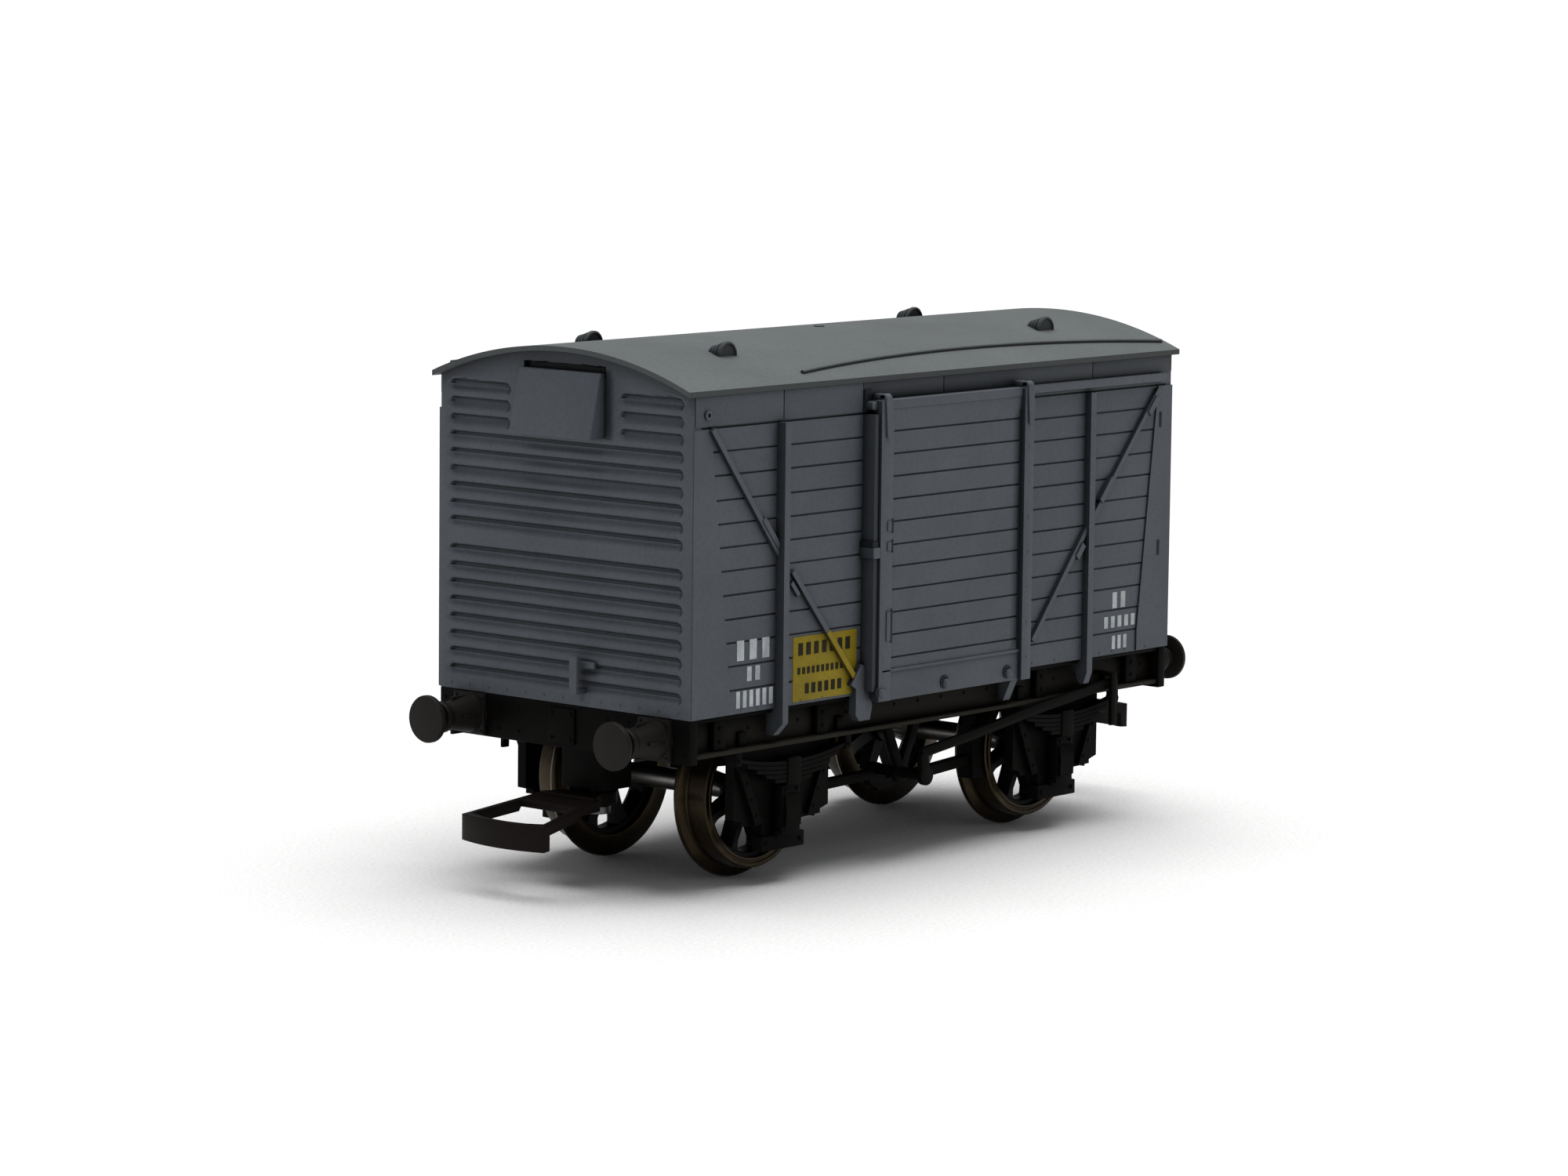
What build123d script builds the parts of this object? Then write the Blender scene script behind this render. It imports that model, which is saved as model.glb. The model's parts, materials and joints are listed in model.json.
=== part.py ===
"""Four-wheeled covered goods van for a 4 mm to the foot railway.

Millimetres. The origin is on the rails under the middle of the van. +Z is up, +X runs
towards the rear end and -Y is the near side. The van is the same turned end for end,
so most pieces are made once at the front end or near side and turned about Z.
"""
from build123d import *
import math
import os

# Running gear
WHEELBASE = 40.0
AXLE_Z = 8.0
FLANGE_RADIUS = 8.0
TREAD_RADIUS = 7.0
TYRE_INNER_RADIUS = 6.0
FLANGE_BACK_Y = 7.2
TREAD_BACK_Y = 8.0
TYRE_FACE_Y = 10.2
AXLE_RADIUS = 1.0
PINPOINT_RADIUS = 0.5
PINPOINT_Y = 13.4
SPOKE_COUNT = 8
SPOKE_WIDTH = 1.5
HUB_RADIUS = 1.8
RIM_THICKNESS = 0.5

# Body
BODY_LENGTH = 69.3
BODY_WIDTH = 30.6
BODY_BOTTOM = 16.5
WALL = 1.0
DOORWAY_HALF = 9.6
DOORWAY_BOTTOM = 17.3
DOORWAY_TOP = 42.2
POST_WIDTH = 0.8
FRONT_POST_X = -23.15
FRONT_POST_PROUD = 1.0
REAR_POST_X = 21.5
REAR_POST_PROUD = 0.7
REAR_DOOR_POST_X = 10.2
REAR_DOOR_POST_PROUD = 0.6
FOOT_BOTTOM = 14.2
STRAP_WIDTH = 0.8
STRAP_PROUD = 0.4
STRAP_ENDS = (
    (-32.4, 41.4, -23.2, 30.0),
    (-21.4, 28.2, -12.4, 18.0),
    (32.2, 41.4, 21.9, 29.6),
    (21.4, 28.9, 13.0, 19.0),
)
BITE = 0.05
PLANK_PITCH = 2.13
CANTRAIL_BOTTOM = 42.04
GROOVE = 0.2

# Roof
ROOF_RADIUS = 41.0
ROOF_THICKNESS = 0.45
ROOF_CROWN = 48.4
ROOF_END_OVERHANG = 0.86
ROOF_SIDE_OVERHANG = 0.26
ROOF_CENTRE_Z = ROOF_CROWN - ROOF_RADIUS
VENT_X = 23.0
VENT_Y = 8.1
VENT_RADIUS = 1.2
VENT_LENGTH = 2.0
VENT_SINK = 0.1

# Ribbed ends
RIB_HEIGHT = 1.05
RIB_DEPTH = 0.4
RIB_HALF = 14.1
RIB_PITCH = 1.56
UPPER_RIB_PITCH = 1.545
UPPER_RIB_TOP = 44.64
LOWER_RIB_TOP = 29.7
UPPER_RIB_COUNT = 9
LOWER_RIB_COUNT = 8
SHORT_RIB_COUNT = 3
HOOD_HALF = 4.9
HOOD_TOP = 46.3
BRACKET_Y = -2.4
SHORT_RIB_START = 6.65

# Underframe
FLOOR_BOTTOM = 15.0
FLOOR_HALF = 13.2
SLOT_HALF = 4.6
SLOT_INNER_Y = 6.8
SLOT_OUTER_Y = 10.6
SCREW_X = 12.0
SCREW_RADIUS = 0.8
WEIGHT_THICKNESS = 0.7
FRAME_HALF = 33.6
SOLEBAR_BOTTOM = 12.9
SOLEBAR_WEB = 0.7
SOLEBAR_DEPTH = 1.8
FLANGE_THICKNESS = 0.4
HEADSTOCK_HALF = 15.2
HEADSTOCK_BOTTOM = 12.5
GUARD_BACK_Y = 12.2
GUARD_FACE_Y = 13.2
GUARD_HALF = 6.5
BEARING_RADIUS = 1.0
BEARING_BORE = 0.55
BEARING_END_Y = 13.9
SPRING_BACK_Y = 13.8
SPRING_FACE_Y = 14.7
BUFFER_Y = 11.25
BUFFER_Z = 14.49
BUFFER_END = 40.67
BUFFER_HEAD_RADIUS = 2.15

# Brake gear
SHOE_GAP = 0.3
SHOE_BACK_Y = 8.3
SHOE_FACE_Y = 10.1
LEVER_BACK_Y = 15.05
LEVER_FACE_Y = 15.6
LEVER_GUARD_XS = (25.0, 25.8)
LEVER_GUARD_TOP = 14.9
SHAFT_X = 2.2
SHAFT_Z = 8.0

# Couplings
COUPLING_END = 43.0
PIVOT_X = 30.0
PIVOT_RADIUS = 0.6
TONGUE_TOP = 8.2
TONGUE_THICKNESS = 1.2
FRONT_LIFT = 0.0
REAR_LIFT = 2.1
POCKET_GAP = 0.3

# Sliding doors
DOOR_HALF = 10.7
DOOR_BOTTOM = 15.9
DOOR_TOP = 43.25
DOOR_BACK_Y = 16.05
DOOR_FACE_Y = 16.85
DOOR_POST_X = 11.7
DOOR_POST_WIDTH = 0.6
DOOR_POST_PROUD = 1.45
STOP_FACE_Y = 17.0
STILE_WIDTH = 0.8
STILE_BACK_Y = 15.5
STRAP_START_X = 9.5
STRAP_FACE_Y = 17.2
FITTING_FACE_Y = 17.4
RAIL_BOTTOM = 42.45
RAIL_FACE_Y = 16.0
HANGER_XS = (-10.3, 10.0)
KNOB_XS = (-10.1, -1.45, 7.8)

BODY_END = BODY_LENGTH / 2
BODY_SIDE = BODY_WIDTH / 2
WHEEL_X = WHEELBASE / 2


def block(x_range, y_range, z_range):
    """A box between two places on each axis."""
    sizes = [high - low for low, high in (x_range, y_range, z_range)]
    middle = [(low + high) / 2 for low, high in (x_range, y_range, z_range)]
    return Pos(*middle) * Box(*sizes)


def turned(shape):
    """The same shape at the other end and on the other side of the van."""
    return Rot(0, 0, 180) * shape


def side_prism(points, y_low, y_high):
    """A flat outline of (x, z) points, given a thickness across the van."""
    outline = Polyline(*[(x, y_low, z) for x, z in points], close=True)
    return extrude(make_face(outline), amount=y_high - y_low, dir=(0, 1, 0))


def plan_prism(points, z_low, z_high):
    """A flat outline of (x, y) points, given a height."""
    outline = Polyline(*[(x, y, z_low) for x, y in points], close=True)
    return extrude(make_face(outline), amount=z_high - z_low, dir=(0, 0, 1))


def cross_rod(x, z, radius, y_low, y_high):
    """A round rod across the van."""
    return Pos(x, (y_low + y_high) / 2, z) * Rot(90, 0, 0) * Cylinder(radius, y_high - y_low)


def long_rod(y, z, radius, x_low, x_high):
    """A round rod along the van."""
    return Pos((x_low + x_high) / 2, y, z) * Rot(0, 90, 0) * Cylinder(radius, x_high - x_low)


def bar(points, width, y_low, y_high):
    """A flat bar of one width through (x, z) points, with round corners."""
    solid = None
    for (x0, z0), (x1, z1) in zip(points, points[1:]):
        length = math.hypot(x1 - x0, z1 - z0)
        angle = math.degrees(math.atan2(z1 - z0, x1 - x0))
        middle = Pos((x0 + x1) / 2, (y_low + y_high) / 2, (z0 + z1) / 2)
        run = middle * Rot(0, -angle, 0) * Box(length, y_high - y_low, width)
        solid = run if solid is None else solid + run
    for x, z in points[1:-1]:
        solid += cross_rod(x, z, width / 2, y_low, y_high)
    return solid


def arch_z(y, radius):
    """Height of a roof curve of this radius at a distance from the middle."""
    return ROOF_CENTRE_Z + math.sqrt(radius * radius - y * y)


def arched_block(half_width, bottom, radius, x_low, x_high):
    """A block with straight sides under a round top."""
    spring = arch_z(half_width, radius)
    crown = (x_low, 0, ROOF_CENTRE_Z + radius)
    sides = Polyline(
        (x_low, -half_width, spring),
        (x_low, -half_width, bottom),
        (x_low, half_width, bottom),
        (x_low, half_width, spring),
    )
    top = ThreePointArc((x_low, half_width, spring), crown, (x_low, -half_width, spring))
    return extrude(make_face(sides + top), amount=x_high - x_low, dir=(1, 0, 0))


def pill(y_low, y_high, z_top):
    """One round-ended hollow, to be sunk into the front end wall."""
    middle = Pos(-BODY_END, (y_low + y_high) / 2, z_top - RIB_HEIGHT / 2)
    outline = SlotOverall(y_high - y_low, RIB_HEIGHT)
    return middle * Rot(0, 90, 0) * Rot(0, 0, 90) * extrude(outline, amount=RIB_DEPTH, both=True)


def end_hollows():
    """The hollows between the front end's pressed ribs: short ones beside the hood, then whole ones."""
    hollows = []
    for row in range(UPPER_RIB_COUNT):
        top = UPPER_RIB_TOP - row * UPPER_RIB_PITCH
        if row < SHORT_RIB_COUNT:
            hollows.append(pill(-RIB_HALF, -SHORT_RIB_START, top))
            hollows.append(pill(SHORT_RIB_START, RIB_HALF, top))
        else:
            hollows.append(pill(-RIB_HALF, RIB_HALF, top))
    for row in range(LOWER_RIB_COUNT):
        hollows.append(pill(-RIB_HALF, RIB_HALF, LOWER_RIB_TOP - row * RIB_PITCH))
    return hollows


def strap(x0, z0, x1, z1):
    """A flat diagonal strap on the near side wall."""
    return bar([(x0, z0), (x1, z1)], STRAP_WIDTH, -BODY_SIDE - STRAP_PROUD, -BODY_SIDE + BITE)


def post(x, width, proud):
    """One near side post, with a foot that spreads over the solebar."""
    outline = [
        (x - width / 2, CANTRAIL_BOTTOM),
        (x - width / 2, 17.2),
        (x - width, FOOT_BOTTOM),
        (x + width, FOOT_BOTTOM),
        (x + width / 2, 17.2),
        (x + width / 2, CANTRAIL_BOTTOM),
    ]
    return side_prism(outline, -BODY_SIDE - proud, -BODY_SIDE + BITE)


def near_side_details():
    """Posts, straps, door rail and corner plates of the near side."""
    wall = -BODY_SIDE + BITE
    pieces = [
        post(FRONT_POST_X, POST_WIDTH, FRONT_POST_PROUD),
        post(-DOOR_POST_X, DOOR_POST_WIDTH, DOOR_POST_PROUD),
        post(REAR_DOOR_POST_X, POST_WIDTH, REAR_DOOR_POST_PROUD),
        post(REAR_POST_X, POST_WIDTH, REAR_POST_PROUD),
    ]
    pieces += [strap(*ends) for ends in STRAP_ENDS]
    gusset = [(-13.6, 19.4), (-11.6, 19.4), (-11.6, 16.9), (-13.6, 16.9)]
    pieces.append(side_prism(gusset, -BODY_SIDE - 0.35, wall))
    pieces.append(block((-11.5, 33.0), (-RAIL_FACE_Y, wall), (RAIL_BOTTOM, DOOR_TOP)))
    stop = (-DOOR_POST_X - DOOR_POST_WIDTH / 2, -DOOR_POST_X + DOOR_POST_WIDTH / 2)
    pieces.append(block(stop, (-STOP_FACE_Y, wall), (29.0, 30.2)))
    plate_inner = [(-BODY_END, 42.0), (-32.4, 42.0), (-29.8, 18.5), (-29.8, 17.0), (-BODY_END, 17.0)]
    for side in (1, -1):
        outline = [(side * x, z) for x, z in plate_inner]
        pieces.append(side_prism(outline, -BODY_SIDE - 0.2, wall))
    return pieces


def body_shell():
    """Sides and ends in one moulding, open at the top and bottom."""
    shell = arched_block(
        BODY_SIDE, BODY_BOTTOM, ROOF_RADIUS - ROOF_THICKNESS, -BODY_END, BODY_END
    )
    inner_end = BODY_END - WALL
    inner_side = BODY_SIDE - WALL
    shell -= block((-inner_end, inner_end), (-inner_side, inner_side), (BODY_BOTTOM, ROOF_CROWN))
    doorway = block(
        (-DOORWAY_HALF, DOORWAY_HALF), (-BODY_SIDE - 1, BODY_SIDE + 1), (DOORWAY_BOTTOM, DOORWAY_TOP)
    )
    shell -= doorway
    groove_count = int((CANTRAIL_BOTTOM - BODY_BOTTOM) / PLANK_PITCH) + 1
    for row in range(groove_count):
        z = CANTRAIL_BOTTOM - row * PLANK_PITCH
        for side in (1, -1):
            face = side * BODY_SIDE
            edge = sorted((face - side * GROOVE, face + side * GROOVE))
            shell -= block((-BODY_END - 1, BODY_END + 1), edge, (z - GROOVE / 2, z + GROOVE / 2))
    for hollow in end_hollows():
        shell -= hollow
        shell -= turned(hollow)
    for detail in near_side_details():
        shell += detail
        shell += turned(detail)
    return shell


def rainstrip():
    """The curved strip that sheds rain clear of the near side door."""
    low, high = ROOF_RADIUS - 0.2, ROOF_RADIUS + 0.35
    ends = [(-18.7, -13.9), (34.7, -13.9)]
    middle = (8.1, -11.85)
    width = 0.35
    outer = ThreePointArc(*[(x, y, 40) for x, y in (ends[0], middle, ends[1])])
    inner = ThreePointArc(*[(x, y + width, 40) for x, y in (ends[1], middle, ends[0])])
    caps = [Line(outer @ 1, inner @ 0), Line(inner @ 1, outer @ 0)]
    wall = extrude(make_face([outer, inner, *caps]), amount=12, dir=(0, 0, 1))
    skin = arched_block(BODY_SIDE, 40, high, -BODY_END - 1, BODY_END + 1)
    skin -= arched_block(BODY_SIDE, 39, low, -BODY_END - 2, BODY_END + 2)
    return wall & skin


def roof():
    """Curved roof sheet with a rainstrip over each door."""
    half_width = BODY_SIDE + ROOF_SIDE_OVERHANG
    half_length = BODY_END + ROOF_END_OVERHANG
    sheet = arched_block(half_width, 40, ROOF_RADIUS, -half_length, half_length)
    inside = ROOF_RADIUS - ROOF_THICKNESS
    sheet -= arched_block(half_width + 1, 39, inside, -half_length - 1, half_length + 1)
    strip = rainstrip()
    return sheet + strip + turned(strip)


def roof_vent(x, y):
    """A half-round ventilator shell standing on the roof."""
    drum = Pos(x, y, arch_z(VENT_Y, ROOF_RADIUS) - VENT_SINK) * Rot(90, 0, 0)
    shell = drum * Cylinder(VENT_RADIUS, VENT_LENGTH)
    under = arched_block(BODY_SIDE, 30, ROOF_RADIUS, -BODY_END, BODY_END)
    return shell - under


def end_vent():
    """Ventilator hood on the front end, open underneath."""
    wall_x = -BODY_END
    outside = [(wall_x, HOOD_TOP), (wall_x - 0.7, HOOD_TOP), (wall_x - 2.05, 40.5), (wall_x, 40.5)]
    inside = [(wall_x, 45.6), (wall_x - 0.3, 45.6), (wall_x - 1.5, 40.4), (wall_x, 40.4)]
    hood = side_prism(outside, -HOOD_HALF, HOOD_HALF)
    return hood - side_prism(inside, -HOOD_HALF + 0.5, HOOD_HALF - 0.5)


def lamp_bracket():
    """Small upright bracket low on the front end, with a tab beside it."""
    start = -BODY_END - 0.4
    width = (BRACKET_Y - 0.45, BRACKET_Y + 0.45)
    foot = block((start - 0.5, -BODY_END), width, (17.7, 18.1))
    blade = block((start - 0.9, start - 0.5), width, (17.7, 21.1))
    tab = block((start, -BODY_END), (BRACKET_Y - 1.7, BRACKET_Y + 0.45), (20.0, 20.6))
    bridge = block((start - 0.6, start + 0.1), width, (20.0, 20.6))
    return foot + blade + tab + bridge


def chassis_floor():
    """Flat floor with a slot over each wheel and holes for the two weight screws."""
    floor = block((-FRAME_HALF, FRAME_HALF), (-FLOOR_HALF, FLOOR_HALF), (FLOOR_BOTTOM, BODY_BOTTOM))
    for x in (-WHEEL_X, WHEEL_X):
        for y_range in ((-SLOT_OUTER_Y, -SLOT_INNER_Y), (SLOT_INNER_Y, SLOT_OUTER_Y)):
            floor -= block((x - SLOT_HALF, x + SLOT_HALF), y_range, (FLOOR_BOTTOM - 1, BODY_BOTTOM + 1))
    for x in (-SCREW_X, SCREW_X):
        floor -= Pos(x, 0, BODY_BOTTOM) * Cylinder(SCREW_RADIUS, 10)
    return floor


def solebar():
    """Near side channel, flanges outwards, with three raised fittings on its web."""
    web_face = -FLOOR_HALF - SOLEBAR_WEB
    face = -FLOOR_HALF - SOLEBAR_DEPTH
    length = (-FRAME_HALF, FRAME_HALF)
    channel = block(length, (web_face, -FLOOR_HALF), (SOLEBAR_BOTTOM, BODY_BOTTOM))
    for bottom in (SOLEBAR_BOTTOM, BODY_BOTTOM - FLANGE_THICKNESS):
        channel += block(length, (face, -FLOOR_HALF), (bottom, bottom + FLANGE_THICKNESS))
    for x in (-30.0, -16.0, 16.0, 30.0):
        channel += block((x - 0.8, x + 0.8), (face + 0.4, web_face), (13.3, 16.1))
    return channel


def headstock():
    """Front cross member that carries the buffers."""
    beam = block((-BODY_END, -FRAME_HALF), (-HEADSTOCK_HALF, HEADSTOCK_HALF),
                 (HEADSTOCK_BOTTOM, BODY_BOTTOM))
    plate = block((-BODY_END - 0.25, -BODY_END), (-1.6, 1.6), (12.9, 16.1))
    return beam + plate


def buffer_housing():
    """Tapered buffer housing on a square base, with a bore for the ram."""
    base = block((-BODY_END - 0.4, -BODY_END), (-BUFFER_Y - 1.9, -BUFFER_Y + 1.9),
                 (BUFFER_Z - 1.9, BUFFER_Z + 1.9))
    cone = Pos(-BODY_END - 2.2, -BUFFER_Y, BUFFER_Z) * Rot(0, -90, 0) * Cone(1.75, 1.2, 3.6)
    collar = long_rod(-BUFFER_Y, BUFFER_Z, 1.35, -BODY_END - 4.3, -BODY_END - 3.7)
    bore = long_rod(-BUFFER_Y, BUFFER_Z, 0.8, -BODY_END - 5, -BODY_END - 1)
    return base + cone + collar - bore


def buffer_head():
    """Round buffer head with its ram, seated in the housing."""
    ram = long_rod(-BUFFER_Y, BUFFER_Z, 0.8, -BUFFER_END + 0.3, -BODY_END - 1)
    head = long_rod(-BUFFER_Y, BUFFER_Z, BUFFER_HEAD_RADIUS, -BUFFER_END, -BUFFER_END + 0.6)
    return ram + head


def axle_guard(x):
    """Near side axle guard: back plate, raised W legs and keeper bar."""
    half_outline = [
        (GUARD_HALF, FLOOR_BOTTOM), (GUARD_HALF, 6.5), (5.4, 6.2), (5.4, 5.8), (2.7, 5.7), (2.3, 3.3),
    ]
    plate_outline = [(x + away, z) for away, z in half_outline]
    plate_outline += [(x - away, z) for away, z in reversed(half_outline)]
    guard = side_prism(plate_outline, -GUARD_FACE_Y, -GUARD_BACK_Y)
    for side in (1, -1):
        leg = [(x + side * 6.2, 11.9), (x + side * 3.6, 5.9)]
        guard += bar(leg, 0.9, -GUARD_FACE_Y - 0.5, -GUARD_FACE_Y + 0.1)
    guard += block((x - 2.9, x + 2.9), (-GUARD_FACE_Y - 0.3, -GUARD_BACK_Y + 0.1), (3.2, 4.6))
    return guard - cross_rod(x, AXLE_Z, BEARING_RADIUS, -GUARD_FACE_Y - 1, -GUARD_BACK_Y + 1)


def bearing(x):
    """Top-hat bearing cup that takes one pinpoint of an axle."""
    cup = cross_rod(x, AXLE_Z, BEARING_RADIUS, -BEARING_END_Y, -GUARD_BACK_Y)
    cup += cross_rod(x, AXLE_Z, 1.5, -GUARD_BACK_Y, -GUARD_BACK_Y + 0.3)
    return cup - cross_rod(x, AXLE_Z, BEARING_BORE, -BEARING_END_Y + 0.3, -GUARD_BACK_Y + 1)


def axlebox(x):
    """Axlebox over the bearing, with a cover on its face."""
    case = block((x - 1.25, x + 1.25), (-SPRING_FACE_Y + 0.3, -GUARD_FACE_Y), (4.7, 9.2))
    case += block((x - 1.0, x + 1.0), (-SPRING_FACE_Y, -SPRING_FACE_Y + 0.3), (5.3, 8.3))
    return case - cross_rod(x, AXLE_Z, BEARING_RADIUS, -BEARING_END_Y, -GUARD_FACE_Y + 1)


def leaf(x, half_length, top, thickness, rise):
    """One curved spring leaf, lowest at its middle."""
    low = ThreePointArc(
        (x - half_length, -SPRING_FACE_Y, top + rise - thickness),
        (x, -SPRING_FACE_Y, top - thickness),
        (x + half_length, -SPRING_FACE_Y, top + rise - thickness),
    )
    high = ThreePointArc(
        (x + half_length, -SPRING_FACE_Y, top + rise),
        (x, -SPRING_FACE_Y, top),
        (x - half_length, -SPRING_FACE_Y, top + rise),
    )
    caps = [Line(low @ 1, high @ 0), Line(high @ 1, low @ 0)]
    depth = SPRING_FACE_Y - SPRING_BACK_Y
    return extrude(make_face([low, high, *caps]), amount=depth, dir=(0, 1, 0))


def leaf_spring(x):
    """Leaf spring with its buckle and two hangers under the solebar."""
    leaf_count = 4
    thickness = 0.45
    spring = block((x - 0.9, x + 0.9), (-SPRING_FACE_Y, -SPRING_BACK_Y), (9.2, 11.6))
    for row in range(leaf_count):
        half_length = 7.5 - 1.5 * row
        rise = 0.9 * (half_length / 7.5) ** 2
        spring += leaf(x, half_length, 11.4 - row * (thickness - 0.03), thickness, rise)
    for side in (1, -1):
        end = x + side * 7.5
        spring += block((end - 0.4, end + 0.4), (-SPRING_FACE_Y, -SPRING_BACK_Y),
                        (11.6, SOLEBAR_BOTTOM))
    return spring


def axle(x):
    """Steel axle, necked down to a pinpoint at each end."""
    journal_y = 10.6
    shaft = cross_rod(x, AXLE_Z, AXLE_RADIUS, -journal_y, journal_y)
    return shaft + cross_rod(x, AXLE_Z, PINPOINT_RADIUS, -PINPOINT_Y, PINPOINT_Y)


def wheel_centre(x):
    """Near side spoked wheel centre, pushed on the axle."""
    back, face = -7.7, -9.7
    rim = cross_rod(x, AXLE_Z, TYRE_INNER_RADIUS, face, back)
    rim -= cross_rod(x, AXLE_Z, TYRE_INNER_RADIUS - RIM_THICKNESS, face - 1, back + 1)
    centre = rim + cross_rod(x, AXLE_Z, HUB_RADIUS, face - 0.5, back + 0.3)
    spoke_length = TYRE_INNER_RADIUS - RIM_THICKNESS / 2
    for number in range(SPOKE_COUNT):
        spoke = Pos(spoke_length / 2, 0, 0) * Box(spoke_length, 1.4, SPOKE_WIDTH)
        angle = 360 / SPOKE_COUNT * (number + 0.5)
        centre += Pos(x, (back + face) / 2, AXLE_Z) * Rot(0, angle, 0) * spoke
    return centre - cross_rod(x, AXLE_Z, AXLE_RADIUS, -20, 0)


def tyre(x):
    """Near side tyre with its flange on the inner side."""
    flange = cross_rod(x, AXLE_Z, FLANGE_RADIUS, -TREAD_BACK_Y, -FLANGE_BACK_Y)
    flange = chamfer(flange.edges().filter_by(GeomType.CIRCLE), 0.2)
    ring = flange + cross_rod(x, AXLE_Z, TREAD_RADIUS, -TYRE_FACE_Y, -TREAD_BACK_Y + 0.1)
    return ring - cross_rod(x, AXLE_Z, TYRE_INNER_RADIUS, -20, 0)


def brake_shoe(x):
    """Near side shoe and hanger on the inner side of the wheel at x."""
    inward = -1 if x > 0 else 1
    shoe = block((-TREAD_RADIUS - 1.6, 0), (-SHOE_FACE_Y, -SHOE_BACK_Y), (-2.5, 2.5))
    shoe -= cross_rod(0, 0, TREAD_RADIUS + SHOE_GAP, -SHOE_FACE_Y - 1, -SHOE_BACK_Y + 1)
    shoe = shoe.solids().sort_by(Axis.X)[0]
    if inward > 0:
        shoe = Rot(0, 180, 0) * shoe
    hanger_x = x + inward * (TREAD_RADIUS + 1.15)
    hanger = block((hanger_x - 0.45, hanger_x + 0.45), (-9.7, -8.7), (AXLE_Z, FLOOR_BOTTOM))
    return Pos(x, 0, AXLE_Z) * shoe + hanger


def push_rods():
    """Near side push rods from the cross shaft to the two shoes."""
    y_range = (-9.65, -8.75)
    shoe_back = WHEEL_X - TREAD_RADIUS - 1.6
    left = bar([(-shoe_back, 7.3), (-SHAFT_X - 0.9, 7.5)], 0.9, *y_range)
    right = bar([(shoe_back, 7.3), (-SHAFT_X, 6.4)], 1.0, *y_range)
    return left + right + cross_rod(-SHAFT_X, 7.4, 1.2, *y_range)


def v_hanger():
    """Near side V hanger with the short cross shaft that it carries."""
    y_range = (-12.6, -12.0)
    apex = (-SHAFT_X, SHAFT_Z)
    hanger = cross_rod(*apex, 1.0, *y_range)
    for side in (1, -1):
        hanger += bar([(apex[0] + side * 3.4, FLOOR_BOTTOM + 0.4), apex], 0.9, *y_range)
    hanger -= block((-10, 10), (-13, -11), (FLOOR_BOTTOM, FLOOR_BOTTOM + 2))
    return hanger + cross_rod(*apex, 0.5, -LEVER_BACK_Y, -9.65)


def brake_lever():
    """Near side brake lever with its long handle."""
    arm = bar([(-SHAFT_X - 0.1, 7.6), (-SHAFT_X - 0.4, 10.1)], 1.1, -LEVER_FACE_Y, -LEVER_BACK_Y)
    route = [(-2.9, 10.15), (4.8, 11.1), (14.5, 12.5), (23.6, 13.6), (26.6, 13.8)]
    handle = bar(route, 0.9, -LEVER_FACE_Y, -LEVER_BACK_Y)
    boss = cross_rod(-SHAFT_X, SHAFT_Z, 0.9, -LEVER_FACE_Y, -LEVER_BACK_Y)
    return arm + handle + boss


def lever_guard():
    """Near side strap that the brake lever moves behind."""
    clear_y = -LEVER_FACE_Y - 0.1
    drop = block(LEVER_GUARD_XS, (clear_y - 0.4, clear_y), (9.8, LEVER_GUARD_TOP))
    web = -FLOOR_HALF - SOLEBAR_WEB
    tab = block(LEVER_GUARD_XS, (clear_y - 0.4, web), (LEVER_GUARD_TOP - 0.4, LEVER_GUARD_TOP))
    return drop + tab


def coupling_pocket(lift):
    """Block under the floor that carries the front coupling."""
    bottom = TONGUE_TOP + POCKET_GAP + lift
    pocket = block((-32.0, -28.2), (-2.5, 2.5), (bottom, FLOOR_BOTTOM))
    return pocket - Pos(-PIVOT_X, 0, bottom) * Cylinder(PIVOT_RADIUS, 3.0)


def coupling_screw(lift):
    """Shouldered screw that the front coupling swings on."""
    bottom = TONGUE_TOP + POCKET_GAP + lift
    head_top = TONGUE_TOP - TONGUE_THICKNESS - 0.2 + lift
    shank_height = bottom + 1.5 - head_top
    shank = Pos(-PIVOT_X, 0, head_top + shank_height / 2) * Cylinder(PIVOT_RADIUS, shank_height)
    head = Pos(-PIVOT_X, 0, head_top - 0.35) * Cylinder(1.2, 0.7)
    slot = block((-PIVOT_X - 2, -PIVOT_X + 2), (-0.15, 0.15), (head_top - 1, head_top - 0.5))
    return shank + head - slot


def loop_plan(inset):
    """Plan of the coupling loop, with arms that spread towards a curved bar."""
    near_y = 3.5 - inset
    far_y = 5.05 - inset * 1.15
    back, front = -33.4, -COUPLING_END + 0.75 + inset
    sides = Polyline((front, -far_y, 0), (back, -near_y, 0), (back, near_y, 0), (front, far_y, 0))
    bow = ThreePointArc((front, far_y, 0), (front - 0.75, 0, 0), (front, -far_y, 0))
    return extrude(make_face(sides + bow), amount=20, dir=(0, 0, 1))


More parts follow.
